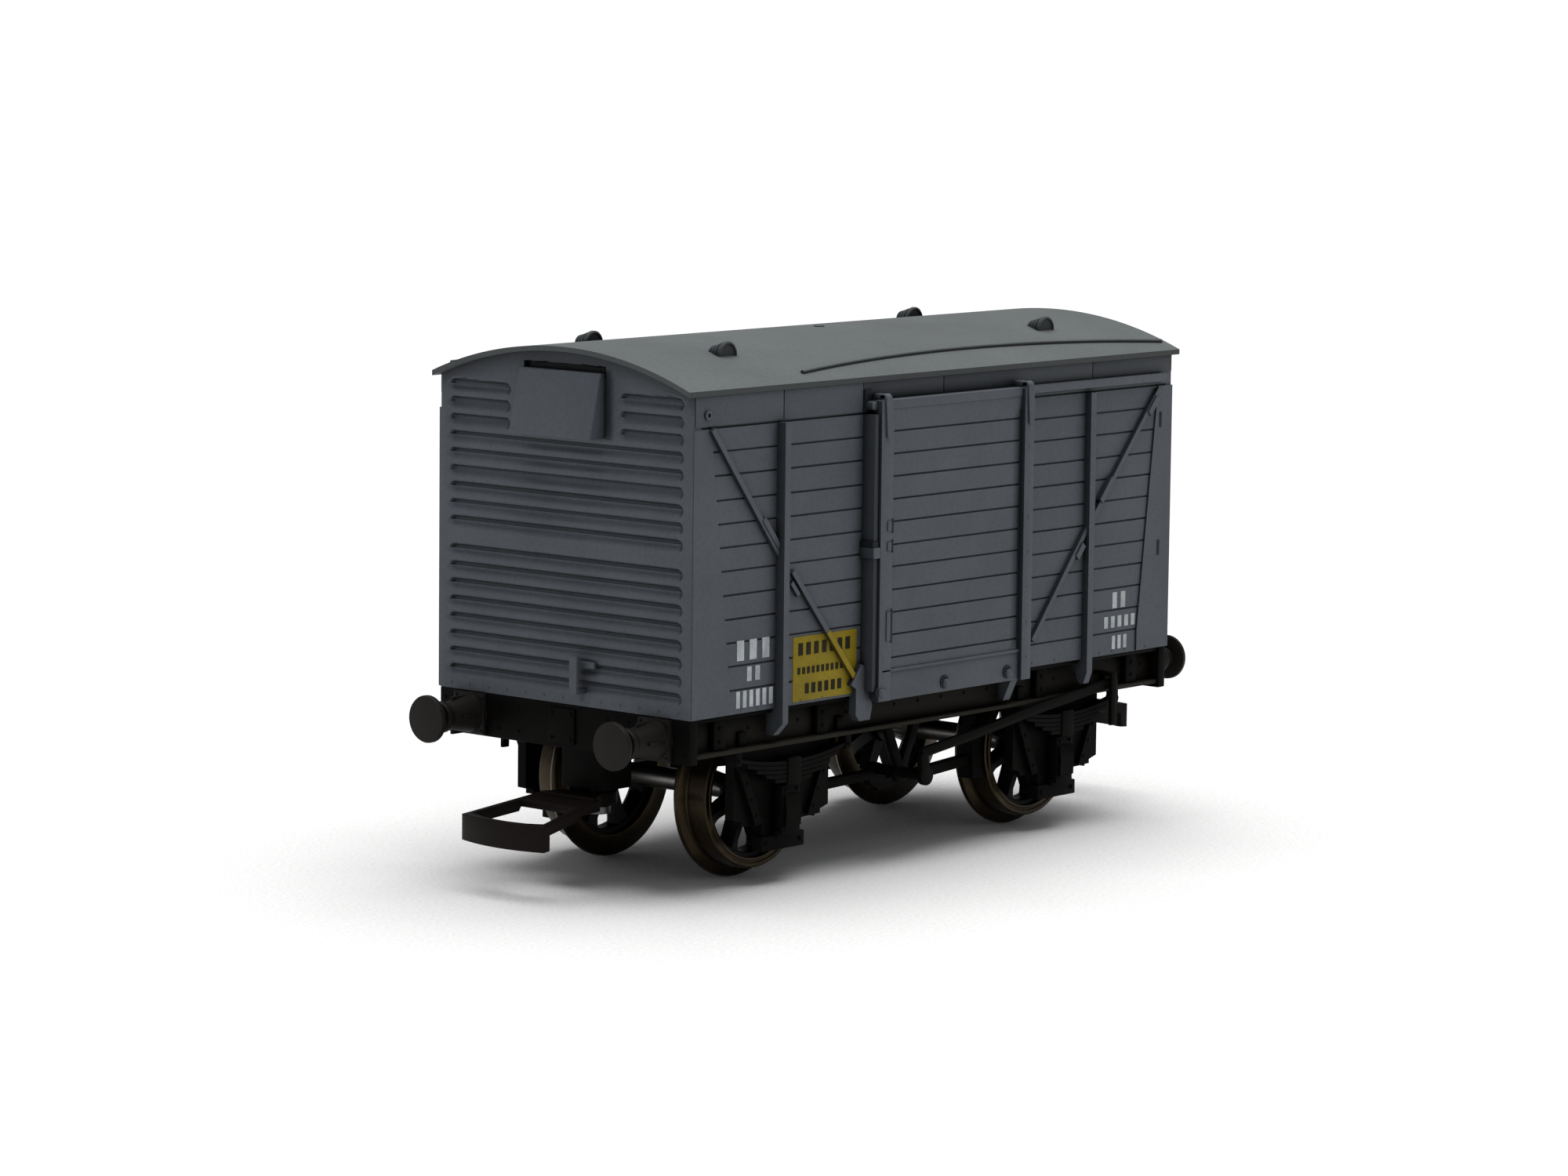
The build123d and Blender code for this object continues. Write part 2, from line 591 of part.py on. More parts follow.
def coupling(lift):
    """Front coupling: curved bar and two arms on a flat tongue with a pivot hole."""
    ring = loop_plan(0.0)
    ring -= loop_plan(0.7) - block((-36.4, -20), (-9, 9), (-1, 30))
    band = [(-33.4, 8.1), (-42.1, 6.9), (-43.5, 6.85), (-43.5, 4.45), (-41.4, 4.6),
            (-41.4, 6.0), (-36.6, 6.6), (-36.4, 7.0), (-33.4, 7.0)]
    loop = ring & side_prism(band, -9, 9)
    tongue = plan_prism([(-34.0, -3.3), (-31.4, -1.8), (-30.0, -1.8), (-30.0, 1.8),
                         (-31.4, 1.8), (-34.0, 3.3)], TONGUE_TOP - TONGUE_THICKNESS, TONGUE_TOP)
    tongue += Pos(-PIVOT_X, 0, TONGUE_TOP - TONGUE_THICKNESS / 2) * Cylinder(1.8, TONGUE_THICKNESS)
    hole = Pos(-PIVOT_X, 0, TONGUE_TOP) * Cylinder(PIVOT_RADIUS + 0.06, 5)
    return Pos(0, 0, lift) * (loop + tongue - hole)


def ballast_weight():
    """Flat weight lying on the floor, tapped for two screws."""
    weight = block((-25, 25), (-12, 12), (BODY_BOTTOM, BODY_BOTTOM + WEIGHT_THICKNESS))
    for x in (-SCREW_X, SCREW_X):
        weight -= Pos(x, 0, BODY_BOTTOM) * Cylinder(SCREW_RADIUS, 10)
    return weight


def weight_screw(x):
    """Screw that holds the weight from under the floor."""
    top = BODY_BOTTOM + WEIGHT_THICKNESS
    shank = Pos(x, 0, (FLOOR_BOTTOM + top) / 2) * Cylinder(SCREW_RADIUS, top - FLOOR_BOTTOM)
    head = Pos(x, 0, FLOOR_BOTTOM - 0.4) * Cylinder(1.4, 0.8)
    slot = block((x - 2, x + 2), (-0.2, 0.2), (FLOOR_BOTTOM - 1, FLOOR_BOTTOM - 0.5))
    return shank + head - slot


def door():
    """Near side planked door, with a deep leading stile and a strap down its trailing edge."""
    panel = block((-DOOR_HALF, DOOR_HALF), (-DOOR_FACE_Y, -DOOR_BACK_Y), (DOOR_BOTTOM, DOOR_TOP))
    for row in range(11):
        z = 19.8 + row * 2.06
        panel -= block((-DOOR_HALF - 1, DOOR_HALF + 1), (-DOOR_FACE_Y - 1, -DOOR_FACE_Y + GROOVE),
                       (z - GROOVE / 2, z + GROOVE / 2))
    stile = block((-DOOR_HALF, -DOOR_HALF + STILE_WIDTH), (-DOOR_BACK_Y - 0.1, -STILE_BACK_Y),
                  (17.5, RAIL_BOTTOM - 0.3))
    strap_piece = block((STRAP_START_X, DOOR_HALF), (-STRAP_FACE_Y, -DOOR_FACE_Y + 0.1),
                        (DOOR_BOTTOM, DOOR_TOP))
    return panel + stile + strap_piece


def door_fittings():
    """Hangers, latch bar and bottom guides on the near side door."""
    outer = (-FITTING_FACE_Y, -DOOR_FACE_Y)
    pieces = []
    for x in HANGER_XS:
        width = (x - 0.4, x + 0.4)
        hook = block(width, (-FITTING_FACE_Y, -15.65), (DOOR_TOP + 0.1, DOOR_TOP + 0.6))
        face = STRAP_FACE_Y if x > 0 else DOOR_FACE_Y
        pieces.append(hook + block(width, (-FITTING_FACE_Y, -face), (40.4, DOOR_TOP + 0.1)))
    pieces.append(block((-10.6, -9.9), outer, (20.6, 34.0)))
    for x in KNOB_XS:
        pieces.append(cross_rod(x, 17.0, 0.55, *outer))
    return pieces


def group(solids):
    """Several separate solids kept together as one sub-part."""
    return Compound(children=[solid for piece in solids for solid in piece.solids()])


parts = {
    "body_shell": body_shell(),
    "roof": roof(),
    "roof_vents": group(roof_vent(x, y) for x in (-VENT_X, VENT_X) for y in (-VENT_Y, VENT_Y)),
    "end_vent_front": end_vent(),
    "end_vent_rear": turned(end_vent()),
    "lamp_brackets": group([lamp_bracket(), turned(lamp_bracket())]),
    "chassis_floor": chassis_floor(),
    "solebar_near": solebar(),
    "solebar_far": turned(solebar()),
    "headstock_front": headstock(),
    "headstock_rear": turned(headstock()),
    "v_hanger_near": v_hanger(),
    "v_hanger_far": turned(v_hanger()),
    "push_rods_near": push_rods(),
    "push_rods_far": turned(push_rods()),
    "brake_lever_near": brake_lever(),
    "brake_lever_far": turned(brake_lever()),
    "lever_guards": group([lever_guard(), turned(lever_guard())]),
    "ballast_weight": ballast_weight(),
    "weight_screws": group([weight_screw(-SCREW_X), weight_screw(SCREW_X)]),
    "coupling_pocket_front": coupling_pocket(FRONT_LIFT),
    "coupling_pocket_rear": turned(coupling_pocket(REAR_LIFT)),
    "coupling_screw_front": coupling_screw(FRONT_LIFT),
    "coupling_screw_rear": turned(coupling_screw(REAR_LIFT)),
    "coupling_front": coupling(FRONT_LIFT),
    "coupling_rear": turned(coupling(REAR_LIFT)),
    "door_near": door(),
    "door_far": turned(door()),
    "door_fittings_near": group(door_fittings()),
    "door_fittings_far": group(turned(piece) for piece in door_fittings()),
}

bearings = [bearing(x) for x in (-WHEEL_X, WHEEL_X)]
parts["axle_bearings"] = group(bearings + [turned(cup) for cup in bearings])

shoes = [brake_shoe(x) for x in (-WHEEL_X, WHEEL_X)]
parts["brake_shoes_near"] = group(shoes)
parts["brake_shoes_far"] = group(turned(shoe) for shoe in shoes)

MIRROR_Y = Plane.XZ
housing_pair = [buffer_housing(), buffer_housing().mirror(MIRROR_Y)]
parts["buffer_housings"] = group(housing_pair + [turned(housing) for housing in housing_pair])
parts["buffer_head_front_near"] = buffer_head()
parts["buffer_head_front_far"] = buffer_head().mirror(MIRROR_Y)
parts["buffer_head_rear_far"] = turned(buffer_head())
parts["buffer_head_rear_near"] = turned(buffer_head().mirror(MIRROR_Y))

for end, x in (("front", -WHEEL_X), ("rear", WHEEL_X)):
    parts[f"axle_{end}"] = axle(x)
    for side, flip in (("near", False), ("far", True)):
        for name, make in (
            ("axle_guard", axle_guard),
            ("leaf_spring", leaf_spring),
            ("axlebox", axlebox),
            ("wheel_centre", wheel_centre),
            ("tyre", tyre),
        ):
            shape = make(x)
            parts[f"{name}_{end}_{side}"] = shape.mirror(MIRROR_Y) if flip else shape

os.makedirs("parts", exist_ok=True)
for name, shape in parts.items():
    export_step(shape, f"parts/{name}.step")
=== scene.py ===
"""Looks of the covered goods van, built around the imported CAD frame.

Helper sizes are in millimetres in the CAD frame: +X to the rear end, -Y the near side, +Z up.
Meshes are scaled to metres as they are made. The van is the same turned end for end, so most
pieces are made once and turned about Z.
"""
import json
import math
import random

import bmesh
import bpy
from mathutils import Matrix, Vector

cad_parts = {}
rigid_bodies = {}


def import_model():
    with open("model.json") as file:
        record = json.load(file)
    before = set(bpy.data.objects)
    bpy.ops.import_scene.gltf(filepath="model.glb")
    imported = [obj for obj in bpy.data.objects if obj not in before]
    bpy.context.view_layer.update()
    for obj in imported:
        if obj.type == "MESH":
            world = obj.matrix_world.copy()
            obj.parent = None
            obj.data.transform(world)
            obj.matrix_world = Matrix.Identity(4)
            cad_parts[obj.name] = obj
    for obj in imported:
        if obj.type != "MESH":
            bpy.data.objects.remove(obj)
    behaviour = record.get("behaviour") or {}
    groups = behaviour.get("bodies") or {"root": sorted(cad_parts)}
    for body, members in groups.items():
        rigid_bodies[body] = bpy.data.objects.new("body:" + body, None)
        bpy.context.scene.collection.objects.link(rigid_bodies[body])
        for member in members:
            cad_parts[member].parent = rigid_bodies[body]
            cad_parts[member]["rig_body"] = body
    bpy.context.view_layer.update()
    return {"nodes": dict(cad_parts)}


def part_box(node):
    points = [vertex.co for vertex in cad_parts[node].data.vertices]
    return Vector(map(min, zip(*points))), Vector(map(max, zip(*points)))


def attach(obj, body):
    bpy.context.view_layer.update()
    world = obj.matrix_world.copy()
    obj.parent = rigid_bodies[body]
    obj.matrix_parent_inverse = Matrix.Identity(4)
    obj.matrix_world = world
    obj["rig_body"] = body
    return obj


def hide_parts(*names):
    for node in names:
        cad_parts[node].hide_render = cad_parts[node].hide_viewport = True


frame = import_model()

MM = 0.001
TINY = 1e-6
TURN = Matrix.Rotation(math.pi, 4, "Z")
NO_TURN = Matrix.Identity(4)
FLIP_Y = Matrix.Diagonal((1, -1, 1, 1))
random.seed(7)


def node_box(node):
    """Lowest and highest corner of a CAD node, in millimetres."""
    low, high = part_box(node)
    return low / MM, high / MM


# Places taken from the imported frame
roof_low, roof_high = node_box("roof")
tyre_low, tyre_high = node_box("tyre_front_near")

WHEEL_X = -(tyre_low.x + tyre_high.x) / 2
AXLE_Z = (tyre_low.z + tyre_high.z) / 2

# Body: half length, half width, sill, wall and the arc of the roof
BODY_END = 34.65
BODY_SIDE = 15.3
BODY_BOTTOM = 16.5
BODY_TOP = 44.9
WALL = 1.0
DOORWAY_HALF = 9.7
DOORWAY_BOTTOM = 17.3
DOORWAY_TOP = 42.2
CANTRAIL_BOTTOM = 42.0
ROOF_CROWN = 48.4
ROOF_RADIUS = 41.0
ROOF_THICKNESS = 0.45
ROOF_CENTRE_Z = ROOF_CROWN - ROOF_RADIUS
VENT_X = 23.0
VENT_Y = 8.1

# Underframe: channel, end beams, axle guards, springs and buffers
FRAME_END = 33.6
BEAM_HALF = 15.2
BEAM_BOTTOM = 12.5
WEB_BACK = -13.2
WEB_FACE = -13.9
FLANGE_EDGE = -15.0
CHANNEL_BOTTOM = 12.9
LOWER_FLANGE_TOP = 13.3
UPPER_FLANGE_BOTTOM = 16.1
GUARD_BACK = -12.2
GUARD_FACE = -13.2
SPRING_BACK = -13.8
SPRING_HALF = 7.5
SPRING_RISE = 0.9
BUFFER_Y = 11.25
BUFFER_Z = 14.49
BUFFER_FACE = 40.62
SPOKE_COUNT = 8


# ---------------------------------------------------------------- camera and studio

def camera():
    """The camera that the van is looked at with."""
    azimuth = math.radians(-49.483)
    elevation = math.radians(6.82)
    roll = math.radians(0.676)
    distance = 491.66
    target = Vector((-3.037, 0.0, 26.992))
    back = Vector((
        math.sin(azimuth) * math.cos(elevation),
        -math.cos(azimuth) * math.cos(elevation),
        math.sin(elevation),
    ))
    data = bpy.data.cameras.new("camera")
    data.sensor_width = 36.0
    data.lens = 120.97
    data.shift_x = -0.00706
    data.shift_y = -0.01976
    data.clip_start = 0.01
    data.clip_end = 20.0
    view = bpy.data.objects.new("camera", data)
    right = (-back).cross(Vector((0, 0, 1))).normalized()
    up = right.cross(-back)
    turned_right = math.cos(roll) * right + math.sin(roll) * up
    turned_up = -math.sin(roll) * right + math.cos(roll) * up
    rotation = Matrix((turned_right, turned_up, back)).transposed()
    view.matrix_world = Matrix.Translation((target + distance * back) * MM) @ rotation.to_4x4()
    bpy.context.scene.collection.objects.link(view)
    bpy.context.scene.camera = view


def soft_sun(name, toward, strength, spread):
    """A wide soft light from a direction, even over the whole floor."""
    data = bpy.data.lights.new(name, "SUN")
    data.energy = strength
    data.angle = math.radians(spread)
    light = bpy.data.objects.new(name, data)
    light.rotation_euler = Vector(toward).to_track_quat("Z", "Y").to_euler()
    bpy.context.scene.collection.objects.link(light)


def studio():
    """White surroundings, a pale floor and soft light from above."""
    scene = bpy.context.scene
    scene.view_settings.view_transform = "Standard"
    world = bpy.data.worlds.new("studio")
    world.use_nodes = True
    tree = world.node_tree
    nodes, links = tree.nodes, tree.links
    place = nodes.new("ShaderNodeTexCoord")
    split = nodes.new("ShaderNodeSeparateXYZ")
    links.new(place.outputs["Generated"], split.inputs["Vector"])
    sky = nodes.new("ShaderNodeValToRGB")
    sky.color_ramp.elements[0].position = 0.03
    sky.color_ramp.elements[0].color = (1, 1, 1, 1)
    sky.color_ramp.elements[1].position = 0.08
    sky.color_ramp.elements[1].color = (0.30, 0.305, 0.32, 1)
    links.new(split.outputs["Z"], sky.inputs["Fac"])
    links.new(sky.outputs["Color"], nodes["Background"].inputs["Color"])
    nodes["Background"].inputs["Strength"].default_value = 1.02
    scene.world = world
    floor_mesh = bpy.data.meshes.new("studio_floor")
    reach = 20.0
    corners = [(-reach, -reach, 0), (reach, -reach, 0), (reach, reach, 0), (-reach, reach, 0)]
    floor_mesh.from_pydata(corners, [], [(0, 1, 2, 3)])
    floor = bpy.data.objects.new("studio_floor", floor_mesh)
    scene.collection.objects.link(floor)
    floor_mesh.materials.append(paint("floor_pale", (0.80, 0.795, 0.785), 0.9, 0.02, 3.0, 0.0,
                                      specular=0.05))
    soft_sun("overhead", (0.12, 0.02, 1.0), 3.45, 62.0)


# ---------------------------------------------------------------- materials

BLOTCHES_PER_METRE = 10
GRAINS_PER_METRE = 2600
CREVICE_SHADE_REACH = 1.3


def paint(name, colour, roughness, spread, blotch_scale, grain, metal=0.0, dirt_and_shade_colour=None,
          specular=0.3, crevice_shade=0.0):
    """A painted or moulded surface: blotchy colour, uneven gloss and a fine grain.

    spread is how far the colour wanders, blotch_scale is blotches per metre over 10, grain is
    the height of the surface grain in millimetres, the dirt and shade colour is laid where a
    mesh asks for dirt and painted shade, and crevice shade darkens narrow corners as painted shade.
    """
    material = bpy.data.materials.new(name)
    material.use_nodes = True
    tree = material.node_tree
    nodes, links = tree.nodes, tree.links
    shader = nodes["Principled BSDF"]
    shader.inputs["Metallic"].default_value = metal
    shader.inputs["Specular IOR Level"].default_value = specular
    place = nodes.new("ShaderNodeTexCoord")
    blotch = nodes.new("ShaderNodeTexNoise")
    blotch.inputs["Scale"].default_value = blotch_scale * BLOTCHES_PER_METRE
    blotch.inputs["Detail"].default_value = 6
    blotch.inputs["Roughness"].default_value = 0.6
    links.new(place.outputs["Object"], blotch.inputs["Vector"])
    fine = nodes.new("ShaderNodeTexNoise")
    fine.inputs["Scale"].default_value = GRAINS_PER_METRE
    fine.inputs["Detail"].default_value = 3
    links.new(place.outputs["Object"], fine.inputs["Vector"])
    ramp = nodes.new("ShaderNodeValToRGB")
    low = [max(c * (1 - spread), 0.0) for c in colour]
    high = [min(c * (1 + spread), 1.0) for c in colour]
    ramp.color_ramp.elements[0].position = 0.35
    ramp.color_ramp.elements[0].color = (*low, 1)
    ramp.color_ramp.elements[1].position = 0.68
    ramp.color_ramp.elements[1].color = (*high, 1)
    links.new(blotch.outputs["Fac"], ramp.inputs["Fac"])
    speck = nodes.new("ShaderNodeMixRGB")
    speck.blend_type = "MULTIPLY"
    speck.inputs["Fac"].default_value = 0.25
    links.new(ramp.outputs["Color"], speck.inputs["Color1"])
    speck_ramp = nodes.new("ShaderNodeValToRGB")
    speck_ramp.color_ramp.elements[0].position = 0.3
    speck_ramp.color_ramp.elements[0].color = (0.55, 0.55, 0.55, 1)
    speck_ramp.color_ramp.elements[1].position = 0.6
    links.new(fine.outputs["Fac"], speck_ramp.inputs["Fac"])
    links.new(speck_ramp.outputs["Color"], speck.inputs["Color2"])
    tint = speck.outputs["Color"]
    if dirt_and_shade_colour:
        tint = add_dirt_and_shade(tree, tint, dirt_and_shade_colour)
    if crevice_shade:
        tint = add_crevice_shade(tree, tint, crevice_shade)
    links.new(tint, shader.inputs["Base Color"])
    gloss = nodes.new("ShaderNodeMapRange")
    gloss.inputs["To Min"].default_value = max(roughness - 0.08, 0.02)
    gloss.inputs["To Max"].default_value = min(roughness + 0.10, 1.0)
    links.new(blotch.outputs["Fac"], gloss.inputs["Value"])
    links.new(gloss.outputs["Result"], shader.inputs["Roughness"])
    if grain:
        bump = nodes.new("ShaderNodeBump")
        bump.inputs["Strength"].default_value = 0.5
        bump.inputs["Distance"].default_value = grain * MM
        links.new(fine.outputs["Fac"], bump.inputs["Height"])
        links.new(bump.outputs["Normal"], shader.inputs["Normal"])
    return material


def add_dirt_and_shade(tree, tint, dirt_and_shade_colour):
    """Lays a colour of dirt and painted shade over a colour, as far as a mesh's shade and grime
    values ask.
    """
    nodes, links = tree.nodes, tree.links
    most = nodes.new("ShaderNodeMath")
    most.operation = "MAXIMUM"
    for place, layer in enumerate(("shade_and_grime", "shade")):
        shade_and_dirt = nodes.new("ShaderNodeAttribute")
        shade_and_dirt.attribute_name = layer
        links.new(shade_and_dirt.outputs["Fac"], most.inputs[place])
    mix = nodes.new("ShaderNodeMixRGB")
    mix.inputs["Color2"].default_value = (*dirt_and_shade_colour, 1)
    links.new(most.outputs["Value"], mix.inputs["Fac"])
    links.new(tint, mix.inputs["Color1"])
    return mix.outputs["Color"]


def add_crevice_shade(tree, tint, strength):
    """Paints shade into a colour where the surface is close to other surfaces."""
    nodes, links = tree.nodes, tree.links
    near = nodes.new("ShaderNodeAmbientOcclusion")
    near.samples = 6
    near.inputs["Distance"].default_value = CREVICE_SHADE_REACH * MM
    ramp = nodes.new("ShaderNodeValToRGB")
    ramp.color_ramp.elements[0].position = 0.30
    ramp.color_ramp.elements[0].color = (1 - strength, 1 - strength, 1 - strength, 1)
    ramp.color_ramp.elements[1].position = 0.92
    links.new(near.outputs["AO"], ramp.inputs["Fac"])
    mix = nodes.new("ShaderNodeMixRGB")
    mix.blend_type = "MULTIPLY"
    mix.inputs["Fac"].default_value = 1.0
    links.new(tint, mix.inputs["Color1"])
    links.new(ramp.outputs["Color"], mix.inputs["Color2"])
    return mix.outputs["Color"]


# ---------------------------------------------------------------- mesh helpers

def make_piece(name, bm, material, body, nodes, smooth=40.0):
    """Turns a bmesh in millimetres into a piece that rides on a body and stands for CAD nodes."""
    bmesh.ops.remove_doubles(bm, verts=bm.verts, dist=0.0005)
    bmesh.ops.recalc_face_normals(bm, faces=bm.faces)
    bmesh.ops.scale(bm, vec=(MM, MM, MM), verts=bm.verts)
    mesh = bpy.data.meshes.new(name)
    bm.to_mesh(mesh)
    bm.free()
    mesh.shade_smooth()
    mesh.set_sharp_from_angle(angle=math.radians(smooth))
    mesh.materials.append(material)
    piece = bpy.data.objects.new(name, mesh)
    bpy.context.scene.collection.objects.link(piece)
    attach(piece, body)
    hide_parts(*nodes)
    return piece


def shade_and_grime_layer(bm):
    """The values of a mesh's vertices that say how much painted shade and dirt they carry."""
    return bm.verts.layers.float.get("shade_and_grime") or bm.verts.layers.float.new("shade_and_grime")


def join_rings(bm, rings):
    """Faces between each ring of vertices and the next, with both ends left open."""
    count = len(rings[0])
    for ring, following in zip(rings, rings[1:]):
        for k in range(count):
            m = (k + 1) % count
            bm.faces.new((ring[k], ring[m], following[m], following[k]))


def box(bm, low, high, bevel=0.08, turn=NO_TURN):
    """A bevelled box between two corners, added to a bmesh."""
    middle = [(a + b) / 2 for a, b in zip(low, high)]
    size = [b - a for a, b in zip(low, high)]
    matrix = turn @ Matrix.Translation(middle) @ Matrix.Diagonal((*size, 1))
    made = bmesh.ops.create_cube(bm, size=1.0, matrix=matrix)
    if bevel > 0:
        limit = min(size) * 0.45
        edges = list({edge for vert in made["verts"] for edge in vert.link_edges})
        bmesh.ops.bevel(bm, geom=edges, offset=min(bevel, limit), segments=2, profile=0.6,
                        affect="EDGES", clamp_overlap=True)


def prism(bm, outline, start, end, axis, bevel=0.08, turn=NO_TURN):
    """An outline given a thickness along x, y or z. The outline leaves that axis out."""
    def corner(point, depth):
        values = list(point)
        values.insert("xyz".index(axis), depth)
        return turn @ Vector(values)

    first = [bm.verts.new(corner(point, start)) for point in outline]
    last = [bm.verts.new(corner(point, end)) for point in outline]
    faces = [bm.faces.new(first), bm.faces.new(last[::-1])]
    count = len(outline)
    for i in range(count):
        j = (i + 1) % count
        faces.append(bm.faces.new((first[j], first[i], last[i], last[j])))
    if bevel > 0:
        edges = {edge for face in faces for edge in face.edges}
        edges = [edge for edge in edges if edge.calc_face_angle(0.0) > math.radians(25)]
        bmesh.ops.bevel(bm, geom=edges, offset=bevel, segments=2, profile=0.6,
                        affect="EDGES", clamp_overlap=True)


def lathe(bm, profile, centre, axis, segments=48, turn=NO_TURN):
    """A profile of (distance along the axis, radius) turned about an axis through a centre."""
    centre = Vector(centre)
    along = Vector(axis).normalized()
    side = along.orthogonal().normalized()
    other = along.cross(side)
    rings = []
    for distance, radius in profile:
        ring = []
        if radius < TINY:
            ring = [bm.verts.new(turn @ (centre + along * distance))] * segments
        else:
            for k in range(segments):
                angle = 2 * math.pi * k / segments
                offset = side * math.cos(angle) * radius + other * math.sin(angle) * radius
                ring.append(bm.verts.new(turn @ (centre + along * distance + offset)))
        rings.append(ring)
    for ring, following in zip(rings, rings[1:]):
        for k in range(segments):
            m = (k + 1) % segments
            corners = [ring[k], ring[m], following[m], following[k]]
            unique = list(dict.fromkeys(corners))
            if len(unique) > 2:
                bm.faces.new(unique)


def rivet(bm, place, axis, radius=0.16, height=0.1, turn=NO_TURN):
    """A small domed rivet head on a surface."""
    profile = [(-0.05, radius), (height * 0.45, radius * 0.95),
               (height * 0.85, radius * 0.55), (height, 0)]
    lathe(bm, profile, place, axis, 8, turn)


def refined(name, node, material, bevel):
    """A finely bevelled copy of a CAD node, with clean flats and rounded edges."""
    source = frame["nodes"][node]
    bm = bmesh.new()
    bm.from_mesh(source.data)
    bmesh.ops.scale(bm, vec=(1 / MM, 1 / MM, 1 / MM), verts=bm.verts)
    bmesh.ops.remove_doubles(bm, verts=bm.verts, dist=0.002)
    bmesh.ops.dissolve_limit(bm, angle_limit=math.radians(1.0), verts=bm.verts, edges=bm.edges)
    edges = [edge for edge in bm.edges if len(edge.link_faces) == 2
             and edge.calc_face_angle(0.0) > math.radians(32)]
    bmesh.ops.bevel(bm, geom=edges, offset=bevel, segments=2, profile=0.6, affect="EDGES",
                    clamp_overlap=True, loop_slide=True)
    return make_piece(name, bm, material, source["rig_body"], [node], 38.0)


# ---------------------------------------------------------------- finishes

BODY_GREY = paint("body_grey_paint", (0.075, 0.0835, 0.0955), 0.55, 0.10, 12.0, 0.010,
                  dirt_and_shade_colour=(0.008, 0.010, 0.013), specular=0.18, crevice_shade=0.80)
ROOF_GREY = paint("roof_grey_paint", (0.100, 0.111, 0.110), 0.62, 0.09, 9.0, 0.012,
                  dirt_and_shade_colour=(0.010, 0.011, 0.012), specular=0.20, crevice_shade=0.75)
VENT_GREY = paint("vent_grey_paint", (0.055, 0.060, 0.065), 0.55, 0.12, 20.0, 0.010,
                  dirt_and_shade_colour=(0.003, 0.003, 0.003), specular=0.2, crevice_shade=0.85)
FRAME_BLACK = paint("frame_black_plastic", (0.0036, 0.0035, 0.0031), 0.50, 0.35, 16.0, 0.012,
                    dirt_and_shade_colour=(0.040, 0.036, 0.028), specular=0.03, crevice_shade=0.80)
WHEEL_BLACK = paint("wheel_black_plastic", (0.0030, 0.0029, 0.0026), 0.42, 0.25, 18.0, 0.008,
                    specular=0.07, crevice_shade=0.7)
TYRE_METAL = paint("tyre_metal", (0.034, 0.024, 0.012), 0.28, 0.50, 20.0, 0.006, metal=0.85,
                   crevice_shade=0.45)
AXLE_STEEL = paint("axle_steel", (0.20, 0.19, 0.18), 0.30, 0.15, 14.0, 0.004, metal=1.0)
BRASS = paint("bearing_brass", (0.42, 0.30, 0.11), 0.30, 0.12, 14.0, 0.004, metal=1.0)
WEIGHT_STEEL = paint("weight_steel", (0.30, 0.30, 0.30), 0.40, 0.18, 12.0, 0.008, metal=1.0)
SCREW_STEEL = paint("screw_steel", (0.12, 0.12, 0.12), 0.38, 0.15, 20.0, 0.004, metal=1.0)
COUPLING_BROWN = paint("coupling_brown_plastic", (0.0066, 0.0040, 0.0032), 0.46, 0.25, 14.0, 0.012,
                       specular=0.08, crevice_shade=0.6)
BUFFER_BROWN = paint("buffer_brown_plastic", (0.0105, 0.0088, 0.0078), 0.50, 0.25, 16.0, 0.012,
                     specular=0.12, crevice_shade=0.5)
MARK_YELLOW = paint("mark_yellow", (0.222, 0.166, 0.009), 0.52, 0.16, 18.0, 0.010,
                    dirt_and_shade_colour=(0.012, 0.012, 0.010), specular=0.15, crevice_shade=0.6)
MARK_WHITE = paint("mark_white", (0.40, 0.425, 0.435), 0.58, 0.25, 40.0, 0.008, specular=0.15)
MARK_DARK = paint("mark_dark", (0.014, 0.012, 0.005), 0.58, 0.30, 30.0, 0.008, specular=0.12)


# ---------------------------------------------------------------- body

HOOD_TOP = 46.3
PLANK_GROOVES = [42.04, 39.9, 37.8, 35.6, 33.5, 31.4, 29.3, 27.15, 25.0, 22.9, 20.8, 18.65]


def arch_z(y, radius=ROOF_RADIUS):
    """Height of a roof curve at a distance from the middle of the van."""
    return ROOF_CENTRE_Z + math.sqrt(radius * radius - y * y)


def planked_panel(bm, x_low, x_high, bottom, top, face, back, grooves, turn, width, groove_shade_and_dirt):
    """A wall of boards with a V joint at each groove height, facing -Y, darkened partly as dirt and
    partly as painted shade.
    """
    shade_and_grime = shade_and_grime_layer(bm)
    lines = [(bottom, face + 0.06, 0.0), (bottom + 0.06, face, 0.0)]
    for z in sorted(grooves):
        # The top groove is fully dark; the others get a share of the given strength.
        strength = 1.0 if z > 42 else groove_shade_and_dirt * random.uniform(0.6, 1.0)
        lines.append((z - width / 2, face + random.uniform(-0.015, 0.015), 0.0))
        lines.append((z - width * 0.12, face + 0.13, strength))
        lines.append((z + width * 0.12, face + 0.13, strength))
        lines.append((z + width / 2, face + random.uniform(-0.015, 0.015), 0.0))
    lines.append((top - 0.06, face, 0.0))
    lines.append((top, face + 0.06, 0.0))
    lines.append((top, back, 0.0))
    lines.append((bottom, back, 0.0))
    stations = max(2, int((x_high - x_low) / 1.2))
    rings = []
    for k in range(stations + 1):
        x = x_low + (x_high - x_low) * k / stations
        ring = []
        for z, y, shade_and_dirt in lines:
            vert = bm.verts.new(turn @ Vector((x, y, z)))
            drift = 0.5 + 0.5 * math.sin(x * 0.55 + z * 2.3) * math.sin(x * 0.21 + z * 0.7)
            vert[shade_and_grime] = shade_and_dirt * (0.45 + 0.55 * drift) * random.uniform(0.8, 1.0)
            ring.append(vert)
        rings.append(ring)
    join_rings(bm, rings)
    bm.faces.new(rings[0][::-1])
    bm.faces.new(rings[-1])


